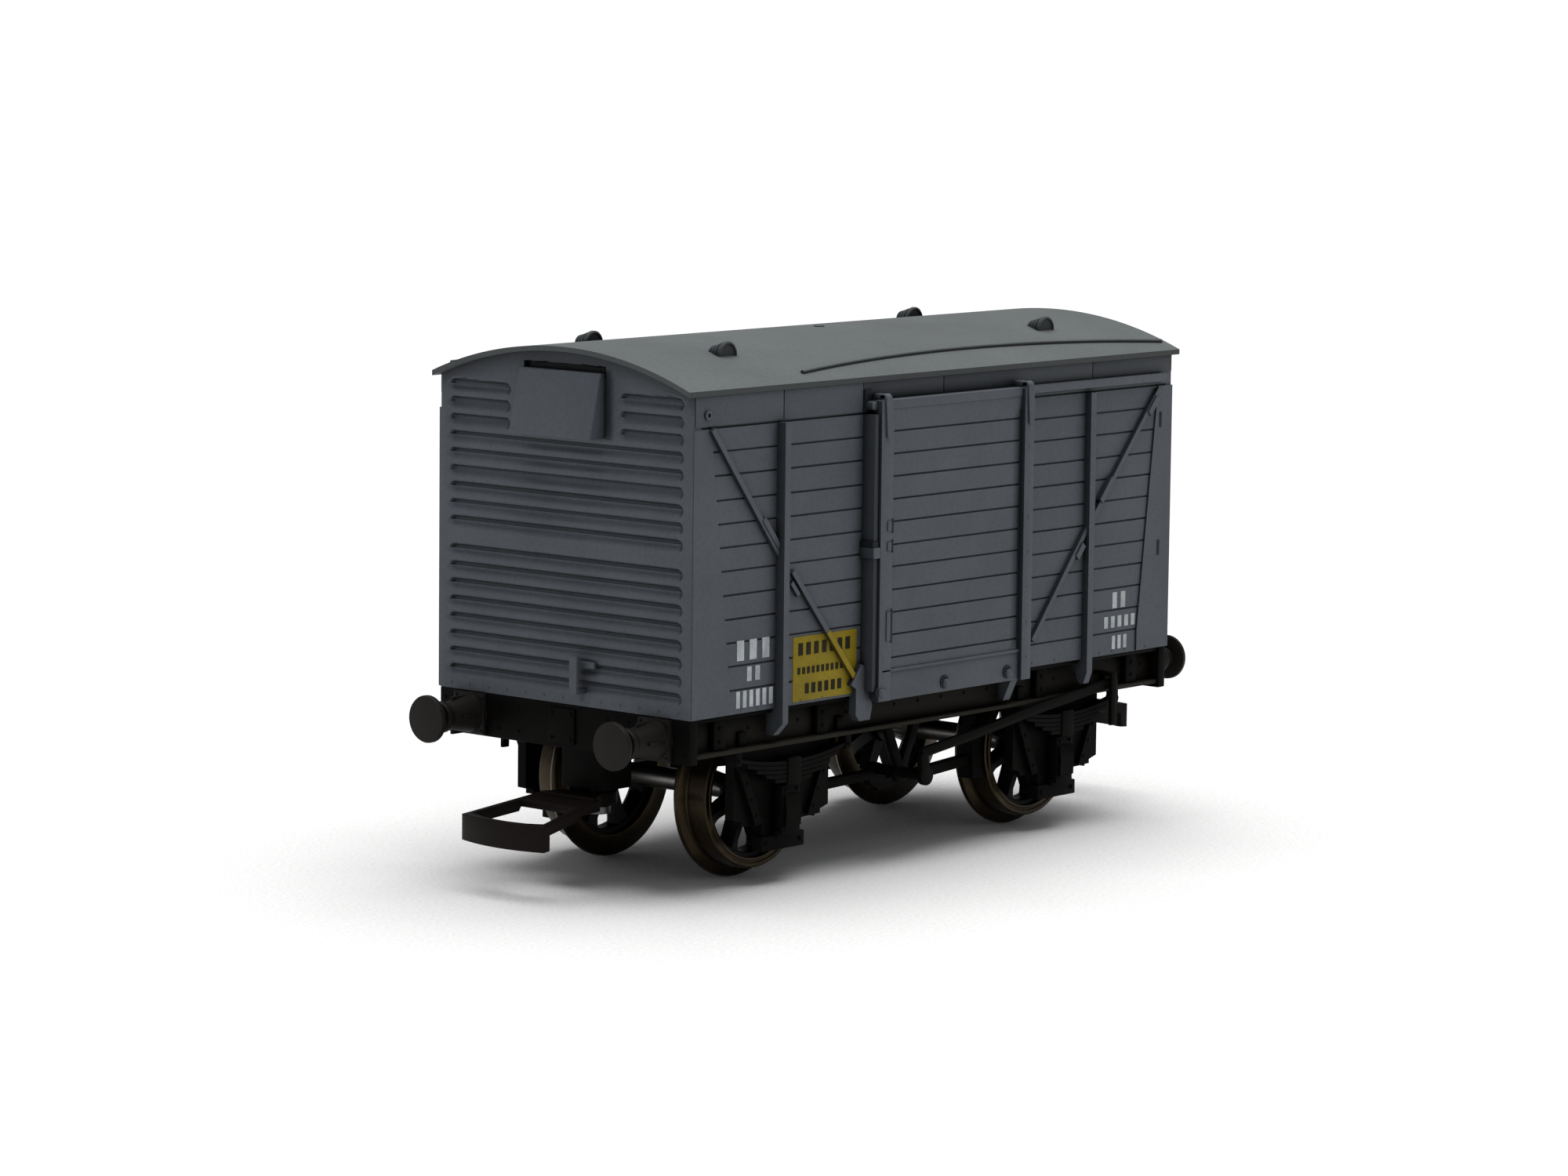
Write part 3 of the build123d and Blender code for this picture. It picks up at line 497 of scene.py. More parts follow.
def body_sides():
    """Planked side walls, with the doorway left open."""
    bm = bmesh.new()
    for turn in (NO_TURN, TURN):
        back = -BODY_SIDE + WALL
        for x_low, x_high in ((-34.5, -9.6), (9.6, 34.5)):
            planked_panel(bm, x_low, x_high, BODY_BOTTOM, BODY_TOP, -BODY_SIDE, back,
                          PLANK_GROOVES, turn, 0.20, 0.62)
        for bottom, top in ((BODY_BOTTOM, DOORWAY_BOTTOM), (DOORWAY_TOP, BODY_TOP)):
            box(bm, (-DOORWAY_HALF, -BODY_SIDE, bottom), (DOORWAY_HALF, back, top), 0.05, turn)
    return make_piece("body_sides", bm, BODY_GREY, "van", ["body_shell"])


# Pressed hollows of the ends: radius, depth and how far they reach across
PILL_RADIUS = 0.56
PILL_DEPTH = 0.42
PILL_END = 14.1
PILL_SHORT_START = 6.65


def end_pills():
    """(lowest |y|, highest |y|, middle z) of every pressed hollow in an end."""
    pills = []
    for row in range(9):
        start = PILL_SHORT_START if row < 3 else 0.0
        pills.append((start, PILL_END, 44.64 - 1.545 * row - PILL_RADIUS))
    for row in range(8):
        pills.append((0.0, PILL_END, 29.7 - 1.56 * row - PILL_RADIUS))
    return pills


def ease(value, low, high):
    """Goes smoothly from 0 at low to 1 at high."""
    share = min(max((value - low) / (high - low), 0.0), 1.0)
    return share * share * (3 - 2 * share)


def end_surface(y, z, pills):
    """(depth, painted shade) of the end wall at one place: steep under each rib, easing out below.
    """
    for start, end, middle in pills:
        if abs(z - middle) > PILL_RADIUS * 1.3:
            continue
        low, high = (-end, end) if start == 0 else (start, end) if y > 0 else (-end, -start)
        along = min(max(y, low + PILL_RADIUS), high - PILL_RADIUS)
        dy, dz = (y - along) / PILL_RADIUS, (z - middle) / PILL_RADIUS
        share = math.hypot(dy, dz)
        near_end = max(-dy, 0.0)
        if share < 1.0:
            steep = max(dz, near_end)
            wall = ease(1 - share, 0.0, 0.25 if steep > 0.3 else 0.9)
            depth = PILL_DEPTH * wall * math.sqrt(max((dz + 1.05) / 2.05, 0.0))
            # Painted shadow along the top wall of each hollow and round its near-side end.
            line = ease(share, 0.50, 0.80) * ease(max(dz, near_end * 0.95), 0.45, 0.75)
            return depth, line * (0.95 if dy <= 0.3 else 0.5)
        # Faint painted shade round the upper part of each hollow's rim.
        if share < 1.3 and dz > -0.4:
            return 0.05 * ease(share, 1.3, 1.0), 0.25 * ease(share, 1.3, 1.0)
    # A slot above the hood, fully dark with painted shadow.
    above_hood = abs(y) < 4.95 and 45.9 < z < HOOD_TOP + 0.50
    if above_hood:
        return 0.5, 1.0
    # Painted shade on the wall beside the hood's near-side cheek.
    if -6.1 < y < -4.7 and 40.4 < z < HOOD_TOP + 0.3:
        return 0.0, 0.75 * ease(y, -6.1, -5.3)
    # Painted shade on the gable under the roof's edge.
    gable = ease(z, arch_z(y) - 2.6, arch_z(y) - 0.9) * 0.45
    return 0.0, gable


def end_wall(bm, turn):
    """One pressed end wall, made as a fine sheet with a flat back."""
    shade_and_grime = shade_and_grime_layer(bm)
    pills = end_pills()
    angles = [math.radians(a) for a in range(0, 91, 15)]
    columns = {0.0, 2.0, 4.0, 4.69, 4.94, 4.96, 5.3, 5.6, 5.9, 6.12, 8.5, 10.5, 12.0, 14.6, 15.1,
               15.24, 15.3}
    for edge, sign in ((PILL_END - PILL_RADIUS, 1), (PILL_SHORT_START + PILL_RADIUS, -1)):
        columns |= {round(edge + sign * PILL_RADIUS * math.sin(a), 4) for a in angles}
        columns.add(round(edge + sign * PILL_RADIUS * 1.1, 4))
    ys = sorted({-c for c in columns} | columns)
    rows = {BODY_BOTTOM, BODY_BOTTOM + 0.06, 17.4, 30.4, 31.0}
    shares = (-1.3, -1.1, -1, -0.85, -0.6, -0.3, 0, 0.3, 0.45, 0.6, 0.7, 0.8, 0.88, 0.94, 1, 1.1,
              1.3)
    for _, _, middle in pills:
        rows |= {round(middle + PILL_RADIUS * share, 4) for share in shares}
    spring = 43.9
    lower = sorted(z for z in rows if z < spring)
    arch_steps = 44
    grid = []
    for y in ys:
        top = arch_z(y, ROOF_RADIUS - ROOF_THICKNESS) + 0.05
        column = []
        heights = lower + [spring + (top - spring) * k / arch_steps for k in range(arch_steps + 1)]
        for z in heights:
            depth, shade_and_dirt = end_surface(y, z, pills)
            edge = max(abs(y) - 15.1, 0.0)
            x = -BODY_END + depth + edge * edge * 2.5
            vert = bm.verts.new(turn @ Vector((x, y, z)))
            vert[shade_and_grime] = shade_and_dirt * random.uniform(0.75, 1.0)
            column.append(vert)
        grid.append(column)
    back = []
    for y, column in zip(ys, grid):
        ends = (column[0].co.z, column[-1].co.z)
        back.append([bm.verts.new(turn @ Vector((-BODY_END + WALL, y, z))) for z in ends])
    for left, right in zip(grid, grid[1:]):
        for a, b, c, d in zip(left, right, right[1:], left[1:]):
            bm.faces.new((a, b, c, d))
    for k in range(len(ys) - 1):
        bm.faces.new((back[k][0], back[k][1], back[k + 1][1], back[k + 1][0]))
        bm.faces.new((grid[k][0], back[k][0], back[k + 1][0], grid[k + 1][0]))
        bm.faces.new((grid[k][-1], grid[k + 1][-1], back[k + 1][1], back[k][1]))
    bm.faces.new(grid[0] + [back[0][1], back[0][0]])
    bm.faces.new(grid[-1][::-1] + [back[-1][0], back[-1][1]])


def body_ends():
    """Both pressed ends with a line of rivets low down."""
    bm = bmesh.new()
    for turn in (NO_TURN, TURN):
        end_wall(bm, turn)
        for k in range(13):
            y = -13.8 + 2.3 * k
            rivet(bm, (-BODY_END, y, 17.05), (-1, 0, 0), 0.13, 0.07, turn)
    return make_piece("body_ends", bm, BODY_GREY, "van", ["body_shell"], 32.0)


def bar_outline(x0, z0, x1, z1, width):
    """Outline in (x, z) of a flat bar between two places."""
    length = math.hypot(x1 - x0, z1 - z0)
    nx, nz = -(z1 - z0) / length * width / 2, (x1 - x0) / length * width / 2
    return [(x0 - nx, z0 - nz), (x1 - nx, z1 - nz), (x1 + nx, z1 + nz), (x0 + nx, z0 + nz)]


def side_plate(bm, outline, proud, turn, bevel=0.07):
    """A flat plate on the near side wall, given in (x, z)."""
    prism(bm, outline, -BODY_SIDE - proud, -BODY_SIDE + 0.25, "y", bevel, turn)


# Lowest and highest x, face y, and the knee at the foot in (y, z) from its front to its back
POSTS = (
    (-23.55, -22.8, -16.3, ((-16.3, 15.2), (-15.2, 14.05), (-14.4, 14.05))),
    (9.7, 10.7, -15.85, ((-15.85, 15.8), (-14.9, 13.7), (-14.4, 13.7))),
    (21.1, 21.95, -16.0, ((-16.0, 15.3), (-15.6, 14.2), (-15.2, 14.1), (-14.8, 14.6),
                          (-14.5, 15.5))),
)


def shade_faces(bm, toward, amount, turn, closeness=0.75):
    """Paints shade on the faces of a mesh that look one way."""
    bmesh.ops.recalc_face_normals(bm, faces=bm.faces)
    shade = bm.loops.layers.float.get("shade") or bm.loops.layers.float.new("shade")
    way = (turn @ Vector(toward)).normalized()
    for face in bm.faces:
        if face.normal.dot(way) > closeness:
            for loop in face.loops:
                loop[shade] = amount


# x and z of one end, x and z of the other, width, and how far each strap stands out
STRAPS = (
    (-32.5, 41.9, -23.5, 30.3, 0.50, 0.42),
    (-25.7, 33.6, -23.6, 31.0, 0.50, 0.50),
    (-21.6, 28.6, -12.4, 17.6, 0.50, 0.42),
    (-21.7, 27.6, -20.7, 26.4, 0.42, 0.34),
    (32.2, 41.6, 21.9, 29.7, 0.50, 0.42),
    (31.9, 40.9, 30.6, 39.4, 0.62, 0.55),
    (25.0, 33.6, 23.2, 31.5, 0.60, 0.55),
    (21.5, 29.4, 13.1, 19.1, 0.50, 0.42),
    (20.6, 27.6, 19.6, 26.4, 0.62, 0.55),
)


def body_framing():
    """Posts, diagonal straps, corner plates, door runner and top boards of both sides."""
    bm = bmesh.new()
    for turn in (NO_TURN, TURN):
        for x_low, x_high, face, foot in POSTS:
            outline = [(face, CANTRAIL_BOTTOM), *foot, (-14.4, 16.6), (-15.05, 17.0),
                       (-15.05, CANTRAIL_BOTTOM)]
            prism(bm, outline, x_low, x_high, "x", 0.06, turn)
        pillar = (-11.75, -16.75, 16.9), (-11.2, -15.1, CANTRAIL_BOTTOM)
        box(bm, *pillar, 0.05, turn)
        # The whole pillar carries painted shade.
        paint_shade_in_box(bm, pillar, 0.62, turn)
        side_plate(bm, [(-13.6, 17.6), (-12.9, 17.2), (-12.9, 14.8), (-12.4, 14.2), (-10.9, 14.2),
                        (-10.6, 15.4), (-11.4, 19.0), (-12.2, 19.4)], 0.55, turn)
        for x0, z0, x1, z1, width, proud in STRAPS:
            side_plate(bm, bar_outline(x0, z0, x1, z1, width), proud, turn, 0.05)
        for side, proud in ((-1, 0.04), (1, 0.17)):
            outline = [(side * x, z) for x, z in
                       ((34.6, 41.95), (32.35, 41.95), (29.6, 18.6), (29.6, 16.55), (34.6, 16.55))]
            side_plate(bm, outline if side < 0 else outline[::-1], proud, turn, 0.03)
        for z in (38.7, 26.3):
            slot = (32.55, -15.5, z - 0.75), (32.98, -15.3, z + 0.75)
            box(bm, *slot, 0.05, turn)
            # The slots are painted fully dark as the shade inside them.
            paint_shade_in_box(bm, slot, 1.0, turn)
        lathe(bm, [(0, 0.42), (0.3, 0.42), (0.36, 0.34), (0.36, 0.2), (0.2, 0.16), (0.2, 0)],
              (-33.0, -BODY_SIDE, 43.2), (0, -1, 0), 20, turn)
        box(bm, (-10.9, -16.0, 42.45), (33.0, -15.2, 43.2), 0.1, turn)
        # A dark box painted fully with shade stands for the shadow in the gap behind the roller.
        roller_gap_shadow = (-11.85, -15.6, 42.2), (-10.8, -15.2, 44.2)
        box(bm, *roller_gap_shadow, 0.05, turn)
        paint_shade_in_box(bm, roller_gap_shadow, 1.0, turn)
        lathe(bm, [(-0.6, 0), (-0.6, 0.42), (0.3, 0.42), (0.4, 0.3), (0.4, 0)],
              (-11.25, -16.0, 42.75), (0, -1, 0), 24, turn)
        # The top boards carry painted shade: light on the two left of the door, heavier on those
        # above the door runner, under the roof's edge.
        for x_low, x_high in ((-34.5, -22.85), (-22.75, -11.9)):
            board = (x_low, -15.42, 42.2), (x_high, -15.2, 44.85)
            box(bm, *board, 0.05, turn)
            paint_shade_in_box(bm, board, 0.16, turn)
        for x_low, x_high in ((-11.8, -0.45), (-0.35, 21.95), (22.05, 34.5)):
            board = (x_low, -15.40, 43.3), (x_high, -15.2, 44.85)
            box(bm, *board, 0.05, turn)
            paint_shade_in_box(bm, board, 0.5, turn)
        for x in (-33.9, -31.0, -28.0, -25.8, -20.0, -17.0, 13.5, 17.0, 24.0, 26.0, 28.0, 31.0):
            face = -BODY_SIDE - 0.16 if x > 30 else -BODY_SIDE
            rivet(bm, (x, face, 16.85), (0, -1, 0), 0.13, 0.08, turn)
        box(bm, (-12.05, -17.0, 29.0), (-11.1, -15.3, 30.0), 0.1, turn)
        # A dark strip painted fully with shade stands for the shadow above the stop block.
        stop_shadow = (-12.05, -16.9, 30.0), (-11.3, -15.35, 30.55)
        box(bm, *stop_shadow, 0.05, turn)
        paint_shade_in_box(bm, stop_shadow, 1.0, turn)
        # Faces looking towards -X, and down towards -X, carry painted shade.
        shade_faces(bm, (-1, 0, 0), 0.55, turn)
        shade_faces(bm, (-0.65, 0, -0.75), 0.65, turn)
    return make_piece("body_framing", bm, BODY_GREY, "van", ["body_shell"])


def paint_shade_in_box(bm, corners, amount, turn):
    """Paints shade on the vertices of a mesh that are inside a box."""
    shade_and_grime = shade_and_grime_layer(bm)
    low, high = corners
    for vert in bm.verts:
        place = turn @ vert.co
        if all(a - 0.01 <= value <= b + 0.01 for a, value, b in zip(low, place, high)):
            vert[shade_and_grime] = amount


def mark_blocks(bm, x_low, x_high, z_low, z_high, count, turn, face=-BODY_SIDE):
    """A row of plain blocks that stands for painted marks."""
    pitch = (x_high - x_low) / count
    for k in range(count):
        x = x_low + pitch * (k + 0.2)
        wide = pitch * 0.55
        box(bm, (x, face - 0.03, z_low), (x + wide, face + 0.2, z_high), 0.0, turn)


def markings():
    """Plain painted marks: white blocks on both outer bays and a yellow panel with dark bars."""
    white = bmesh.new()
    yellow = bmesh.new()
    dark = bmesh.new()
    for turn in (NO_TURN, TURN):
        mark_blocks(white, -29.0, -23.9, 21.2, 23.0, 3, turn)
        mark_blocks(white, -27.5, -25.3, 19.3, 20.6, 2, turn)
        mark_blocks(white, -28.9, -23.6, 17.0, 18.5, 6, turn, -BODY_SIDE - 0.02)
        mark_blocks(white, 25.6, 28.2, 20.95, 22.5, 2, turn)
        mark_blocks(white, 24.4, 29.7, 19.1, 20.2, 5, turn)
        mark_blocks(white, 25.7, 28.4, 17.0, 18.3, 3, turn)
        box(yellow, (-21.1, -BODY_SIDE - 0.04, 16.75), (-12.3, -BODY_SIDE + 0.2, 22.6), 0.02, turn)
        strap = bar_outline(-16.7, 22.75, -12.55, 17.8, 0.53)
        prism(yellow, strap, -BODY_SIDE - 0.45, -BODY_SIDE, "y", 0.05, turn)
        for x0, x1, z0, z1, count in ((-20.6, -13.0, 20.9, 22.0, 7), (-20.6, -13.4, 19.2, 19.8, 11),
                                      (-19.6, -14.2, 17.4, 18.3, 6)):
            mark_blocks(dark, x0, x1, z0, z1, count, turn, -BODY_SIDE - 0.05)
        # The lower left faces of the yellow strap carry painted shade.
        shade_faces(yellow, (-0.65, 0, -0.75), 0.7, turn)
    make_piece("marks_white", white, MARK_WHITE, "van", ["body_shell"])
    make_piece("marks_yellow", yellow, MARK_YELLOW, "van", ["body_shell"])
    make_piece("marks_dark", dark, MARK_DARK, "van", ["body_shell"])


# ---------------------------------------------------------------- roof

def roof_sheet():
    """The curved roof with its two rainstrips and a small pip on the ridge."""
    bm = bmesh.new()
    half = roof_high.y
    count = 56
    ys = [half * (1 - 2 * k / count) for k in range(count + 1)]
    outline = [(y, arch_z(y)) for y in ys]
    outline += [(y, arch_z(y, ROOF_RADIUS - ROOF_THICKNESS)) for y in reversed(ys)]
    prism(bm, outline, roof_low.x, roof_high.x, "x", 0.10)
    # The roof's end and side edge faces carry painted shade, and a dark line of dirt runs along the
    # bevels at the top of its ends.
    for side in (-1, 1):
        shade_faces(bm, (side, 0, 0), 0.42, NO_TURN)
        shade_faces(bm, (side * 0.7, 0, 0.7), 0.85, NO_TURN, 0.93)
        shade_faces(bm, (0, side, 0), 0.6, NO_TURN)
    for turn in (NO_TURN, TURN):
        rainstrip(bm, turn)
    lathe(bm, [(-0.2, 0.55), (0.1, 0.5), (0.22, 0.3), (0.25, 0)], (0, 0, arch_z(0)), (0, 0, 1), 20)
    return make_piece("roof_sheet", bm, ROOF_GREY, "van", ["roof"], 30.0)


def rainstrip(bm, turn):
    """A thin half-round strip bowed over the near side door."""
    shade_and_grime = shade_and_grime_layer(bm)
    # The third value of each point is painted shade, darkest along the strip's lower edges.
    section = [(-0.30, -0.03, 0.9), (-0.16, 0.02, 0.9), (-0.15, 0.22, 0.2), (-0.06, 0.30, 0.0),
               (0.08, 0.30, 0.0), (0.17, 0.20, 0.3), (0.18, -0.1, 0.6)]
    steps = 60
    start, length, bow = -18.7, 53.4, 2.05
    rings = []
    for k in range(steps + 1):
        x = start + length * k / steps
        share = (x - 8.1) / (length / 2)
        y = -11.85 - bow * share * share
        z = arch_z(y)
        normal = Vector((0, y, z - ROOF_CENTRE_Z)).normalized()
        side = Vector((0, normal.z, -normal.y))
        ring = []
        for across, height, shade_and_dirt in section:
            vert = bm.verts.new(turn @ (Vector((x, y, z)) + side * across + normal * height))
            vert[shade_and_grime] = shade_and_dirt
            ring.append(vert)
        rings.append(ring)
    join_rings(bm, rings)
    bm.faces.new(rings[0])
    bm.faces.new(rings[-1][::-1])


def roof_vents():
    """Four ribbed half-round ventilator shells."""
    bm = bmesh.new()
    profile = [(0, 0), (0, 0.62), (0.12, 0.72), (0.34, 0.78), (0.42, 0.66), (0.50, 0.82),
               (0.82, 0.92), (0.90, 0.78), (0.98, 0.98), (1.30, 1.08), (1.38, 0.92), (1.46, 1.12),
               (1.58, 1.2), (1.84, 1.2), (1.93, 1.12), (1.93, 0.98), (1.80, 0.92), (1.74, 0)]
    for x in (-VENT_X, VENT_X):
        for y in (-VENT_Y, VENT_Y):
            lathe(bm, profile, (x, y + 1.0, arch_z(VENT_Y) - 0.06), (0, -1, 0), 40)
    return make_piece("vent_shells", bm, VENT_GREY, "van", ["roof_vents"], 35.0)


# ---------------------------------------------------------------- doors

DOOR_GROOVES = [40.4, 38.35, 36.3, 34.25, 32.2, 30.1, 28.1, 26.0, 23.95, 21.9, 19.8]
DOOR_FACE = -16.85
DOOR_BACK = -16.05
DOOR_HALF = 10.7
DOOR_BOTTOM = 15.9
DOOR_TOP = 43.25


def door(side, turn):
    """Planked sliding door with stiles, top and bottom rails and a deep leading edge."""
    bm = bmesh.new()
    planked_panel(bm, -10.5, 10.5, 18.7, 42.5, DOOR_FACE, DOOR_BACK, DOOR_GROOVES, turn, 0.19, 0.85)
    for face, bottom, top, bevel in ((-16.88, DOOR_BOTTOM, 18.55, 0.1), (-17.0, 18.5, 18.8, 0.08),
                                     (-16.95, 42.4, DOOR_TOP, 0.14)):
        box(bm, (-DOOR_HALF, face, bottom), (DOOR_HALF, DOOR_BACK, top), bevel, turn)
    box(bm, (-11.1, -17.0, DOOR_BOTTOM), (-9.35, DOOR_BACK, DOOR_TOP), 0.10, turn)
    box(bm, (-DOOR_HALF, -16.2, 17.5), (-9.9, -15.5, 42.15), 0.05, turn)
    box(bm, (9.35, -17.3, DOOR_BOTTOM), (10.75, DOOR_BACK, DOOR_TOP), 0.10, turn)
    # A dark strip painted with shade stands for the shadow beside the strap.
    strap_shadow = (9.05, -16.87, 18.9), (9.35, -16.7, 41.2)
    box(bm, *strap_shadow, 0.0, turn)
    paint_shade_in_box(bm, strap_shadow, 0.95, turn)
    # Faces looking towards -X carry painted shade.
    shade_faces(bm, (-1, 0, 0), 0.75, turn)
    for k in range(8):
        z = 18.0 + 3.3 * k
        rivet(bm, (10.05, -17.3, z), (0, -1, 0), 0.12, 0.06, turn)
    name = "door_" + side
    return make_piece(name, bm, BODY_GREY, name + "_slide", [name])


def door_fittings(side, turn):
    """Hangers with curled tops, latch staples and round guides on a door."""
    bm = bmesh.new()
    for x, face in ((-10.3, -17.0), (10.0, -17.3)):
        outline = [(x - 0.42, 43.3), (x - 0.2, 39.9), (x + 0.2, 39.9), (x + 0.42, 43.3)]
        prism(bm, outline, face - 0.2, face + 0.1, "y", 0.06, turn)
        lathe(bm, [(0, 0), (0, 0.42), (0.08, 0.5), (0.72, 0.5), (0.8, 0.42), (0.8, 0)],
              (x - 0.4, face + 0.25, 43.35), (1, 0, 0), 20, turn)
        box(bm, (x - 0.4, face, 43.3), (x + 0.4, -15.65, 43.8), 0.1, turn)
    for low, high in ((31.2, 32.5), (29.4, 30.6), (21.2, 24.3)):
        # A dark strip painted fully with shade stands for the shadow beside each latch plate.
        plate_shadow = (-9.56, -17.04, low), (-9.33, -16.9, high)
        box(bm, *plate_shadow, 0.02, turn)
        paint_shade_in_box(bm, plate_shadow, 1.0, turn)
        box(bm, (-10.2, -17.12, low + 0.2), (-9.66, -16.95, high - 0.2), 0.06, turn)
    for x in (-10.7, -1.45, 7.8):
        shadow = (x - 0.8, -17.05, 16.0), (x + 0.6, -16.7, 17.6)
        lathe(bm, [(-0.05, 0.62), (0.12, 0.62), (0.15, 0.42)], (x - 0.1, DOOR_FACE, 16.82),
              (0, -1, 0), 28, turn)
        paint_shade_in_box(bm, shadow, 0.9, turn)
        lathe(bm, [(-0.1, 0.43), (0.2, 0.43), (0.34, 0.38), (0.45, 0.28), (0.5, 0)],
              (x, DOOR_FACE, 16.7), (0, -1, 0), 28, turn)
    return make_piece("door_fittings_" + side, bm, BODY_GREY, "door_" + side + "_slide",
                      ["door_fittings_" + side])


# ---------------------------------------------------------------- underframe

def headstock(end, turn):
    """End beam with a drawhook plate and bolt heads."""
    bm = bmesh.new()
    box(bm, (-BODY_END, -BEAM_HALF, BEAM_BOTTOM), (-FRAME_END, BEAM_HALF, BODY_BOTTOM), 0.12, turn)
    box(bm, (-34.9, -1.6, 12.9), (-34.5, 1.6, 16.1), 0.12, turn)
    for y, z in ((-1.15, 13.35), (1.15, 13.35), (-1.15, 15.65), (1.15, 15.65)):
        rivet(bm, (-34.9, y, z), (-1, 0, 0), 0.2, 0.14, turn)
    for y in (-14.6, -7.9, -5.4, 5.4, 7.9, 14.6):
        for z in (13.4, 15.6):
            rivet(bm, (-BODY_END, y, z), (-1, 0, 0), 0.17, 0.12, turn)
    name = "headstock_" + end
    return make_piece("beam_" + end, bm, FRAME_BLACK, "van", [name])


def solebar(side, turn):
    """Side channel with its flanges outwards, gussets, brackets and bolt heads."""
    bm = bmesh.new()
    shade_and_grime = shade_and_grime_layer(bm)
    for face, bottom, top, bevel in ((WEB_FACE, CHANNEL_BOTTOM, BODY_BOTTOM, 0.05),
                                     (FLANGE_EDGE, CHANNEL_BOTTOM, LOWER_FLANGE_TOP, 0.09),
                                     (FLANGE_EDGE, UPPER_FLANGE_BOTTOM, BODY_BOTTOM, 0.09)):
        box(bm, (-FRAME_END, face, bottom), (FRAME_END, WEB_BACK, top), bevel, turn)
    for x in (-30.0, -16.0, 16.0, 30.0):
        box(bm, (x - 0.8, -14.6, LOWER_FLANGE_TOP), (x + 0.8, -13.8, UPPER_FLANGE_BOTTOM), 0.14,
            turn)
        rivet(bm, (x, -14.6, 14.1), (0, -1, 0), 0.2, 0.14, turn)
        rivet(bm, (x, -14.6, 15.3), (0, -1, 0), 0.2, 0.14, turn)
    for x in (-26.6, -13.2, 13.2, 26.6):
        box(bm, (x - 0.5, -14.35, LOWER_FLANGE_TOP), (x + 0.5, -13.8, 14.6), 0.12, turn)
    for k in range(20):
        rivet(bm, (-32.3 + 3.4 * k, WEB_FACE, 14.8), (0, -1, 0), 0.16, 0.12, turn)
    # The lowest flange is tinted halfway to the frame material's lighter brown second colour.
    for vert in bm.verts:
        if vert.co.z < LOWER_FLANGE_TOP + 0.02:
            vert[shade_and_grime] = 0.5
    name = "solebar_" + side
    return make_piece("channel_" + side, bm, FRAME_BLACK, "van", [name])


def axle_guard(place, turn):
    """Axle guard plate with two raised bolted legs and a keeper bar below."""
    bm = bmesh.new()
    x = -WHEEL_X
    half_outline = [(6.5, 15.0), (6.5, 6.5), (5.4, 6.2), (5.4, 5.8), (2.7, 5.7), (2.3, 3.3)]
    outline = [(x + away, z) for away, z in half_outline]
    outline += [(x - away, z) for away, z in reversed(half_outline)]
    prism(bm, outline, GUARD_FACE, GUARD_BACK, "y", 0.08, turn)
    for side in (-1, 1):
        top, foot = Vector((x + side * 6.2, 11.9)), Vector((x + side * 3.6, 5.9))
        prism(bm, bar_outline(*top, *foot, 0.9), -13.7, -13.1, "y", 0.12, turn)
        for share in (0.12, 0.37, 0.62, 0.87):
            bolt = top.lerp(foot, share)
            rivet(bm, (bolt.x, -13.7, bolt.y), (0, -1, 0), 0.18, 0.12, turn)
        rivet(bm, (x + side * 2.3, -13.5, 3.9), (0, -1, 0), 0.24, 0.16, turn)
    box(bm, (x - 2.9, -13.5, 3.2), (x + 2.9, GUARD_BACK, 4.6), 0.14, turn)
    name = "axle_guard_" + place
    return make_piece("guard_" + place, bm, FRAME_BLACK, "van", [name])


def axlebox(place, turn):
    """Axlebox with a sloped lid, a cover plate and two bolts."""
    bm = bmesh.new()
    x = -WHEEL_X
    box(bm, (x - 1.25, -14.4, 4.7), (x + 1.25, GUARD_FACE, 9.2), 0.16, turn)
    outline = [(-14.4, 5.3), (-14.7, 5.5), (-14.75, 6.9), (-14.6, 8.2), (-14.4, 8.4)]
    prism(bm, outline, x - 1.0, x + 1.0, "x", 0.05, turn)
    box(bm, (x - 1.45, -14.1, 4.5), (x + 1.45, GUARD_FACE, 5.1), 0.12, turn)
    for side in (-1, 1):
        rivet(bm, (x + side * 0.75, -14.45, 8.75), (0, -1, 0), 0.18, 0.12, turn)
    name = "axlebox_" + place
    return make_piece("box_" + place, bm, FRAME_BLACK, "van", [name])


def leaf_spring(place, turn):
    """Spring of five curved leaves with a buckle and eye hangers."""
    bm = bmesh.new()
    x = -WHEEL_X
    for row in range(5):
        half = SPRING_HALF - 1.25 * row
        top = 11.4 - 0.4 * row
        steps = 24
        upper, lower = [], []
        for k in range(steps + 1):
            away = -half + 2 * half * k / steps
            z = top + SPRING_RISE * (away / SPRING_HALF) ** 2
            upper.append((x + away, z))
            lower.append((x + away, z - 0.34))
        prism(bm, lower + upper[::-1], -14.66, -13.84, "y", 0.05, turn)
    box(bm, (x - 0.9, -14.78, 9.2), (x + 0.9, SPRING_BACK, 11.7), 0.12, turn)
    for side in (-1, 1):
        end = x + side * SPRING_HALF
        box(bm, (end - 0.4, -14.7, 11.6), (end + 0.4, SPRING_BACK, CHANNEL_BOTTOM), 0.1, turn)
        lathe(bm, [(-0.48, 0), (-0.48, 0.42), (0.48, 0.42), (0.48, 0)], (end, -14.25, 12.05),
              (0, 1, 0), 20, turn)
        rivet(bm, (end, -14.73, 12.05), (0, -1, 0), 0.2, 0.12, turn)
    name = "leaf_spring_" + place
    return make_piece("leaves_" + place, bm, FRAME_BLACK, "van", [name])


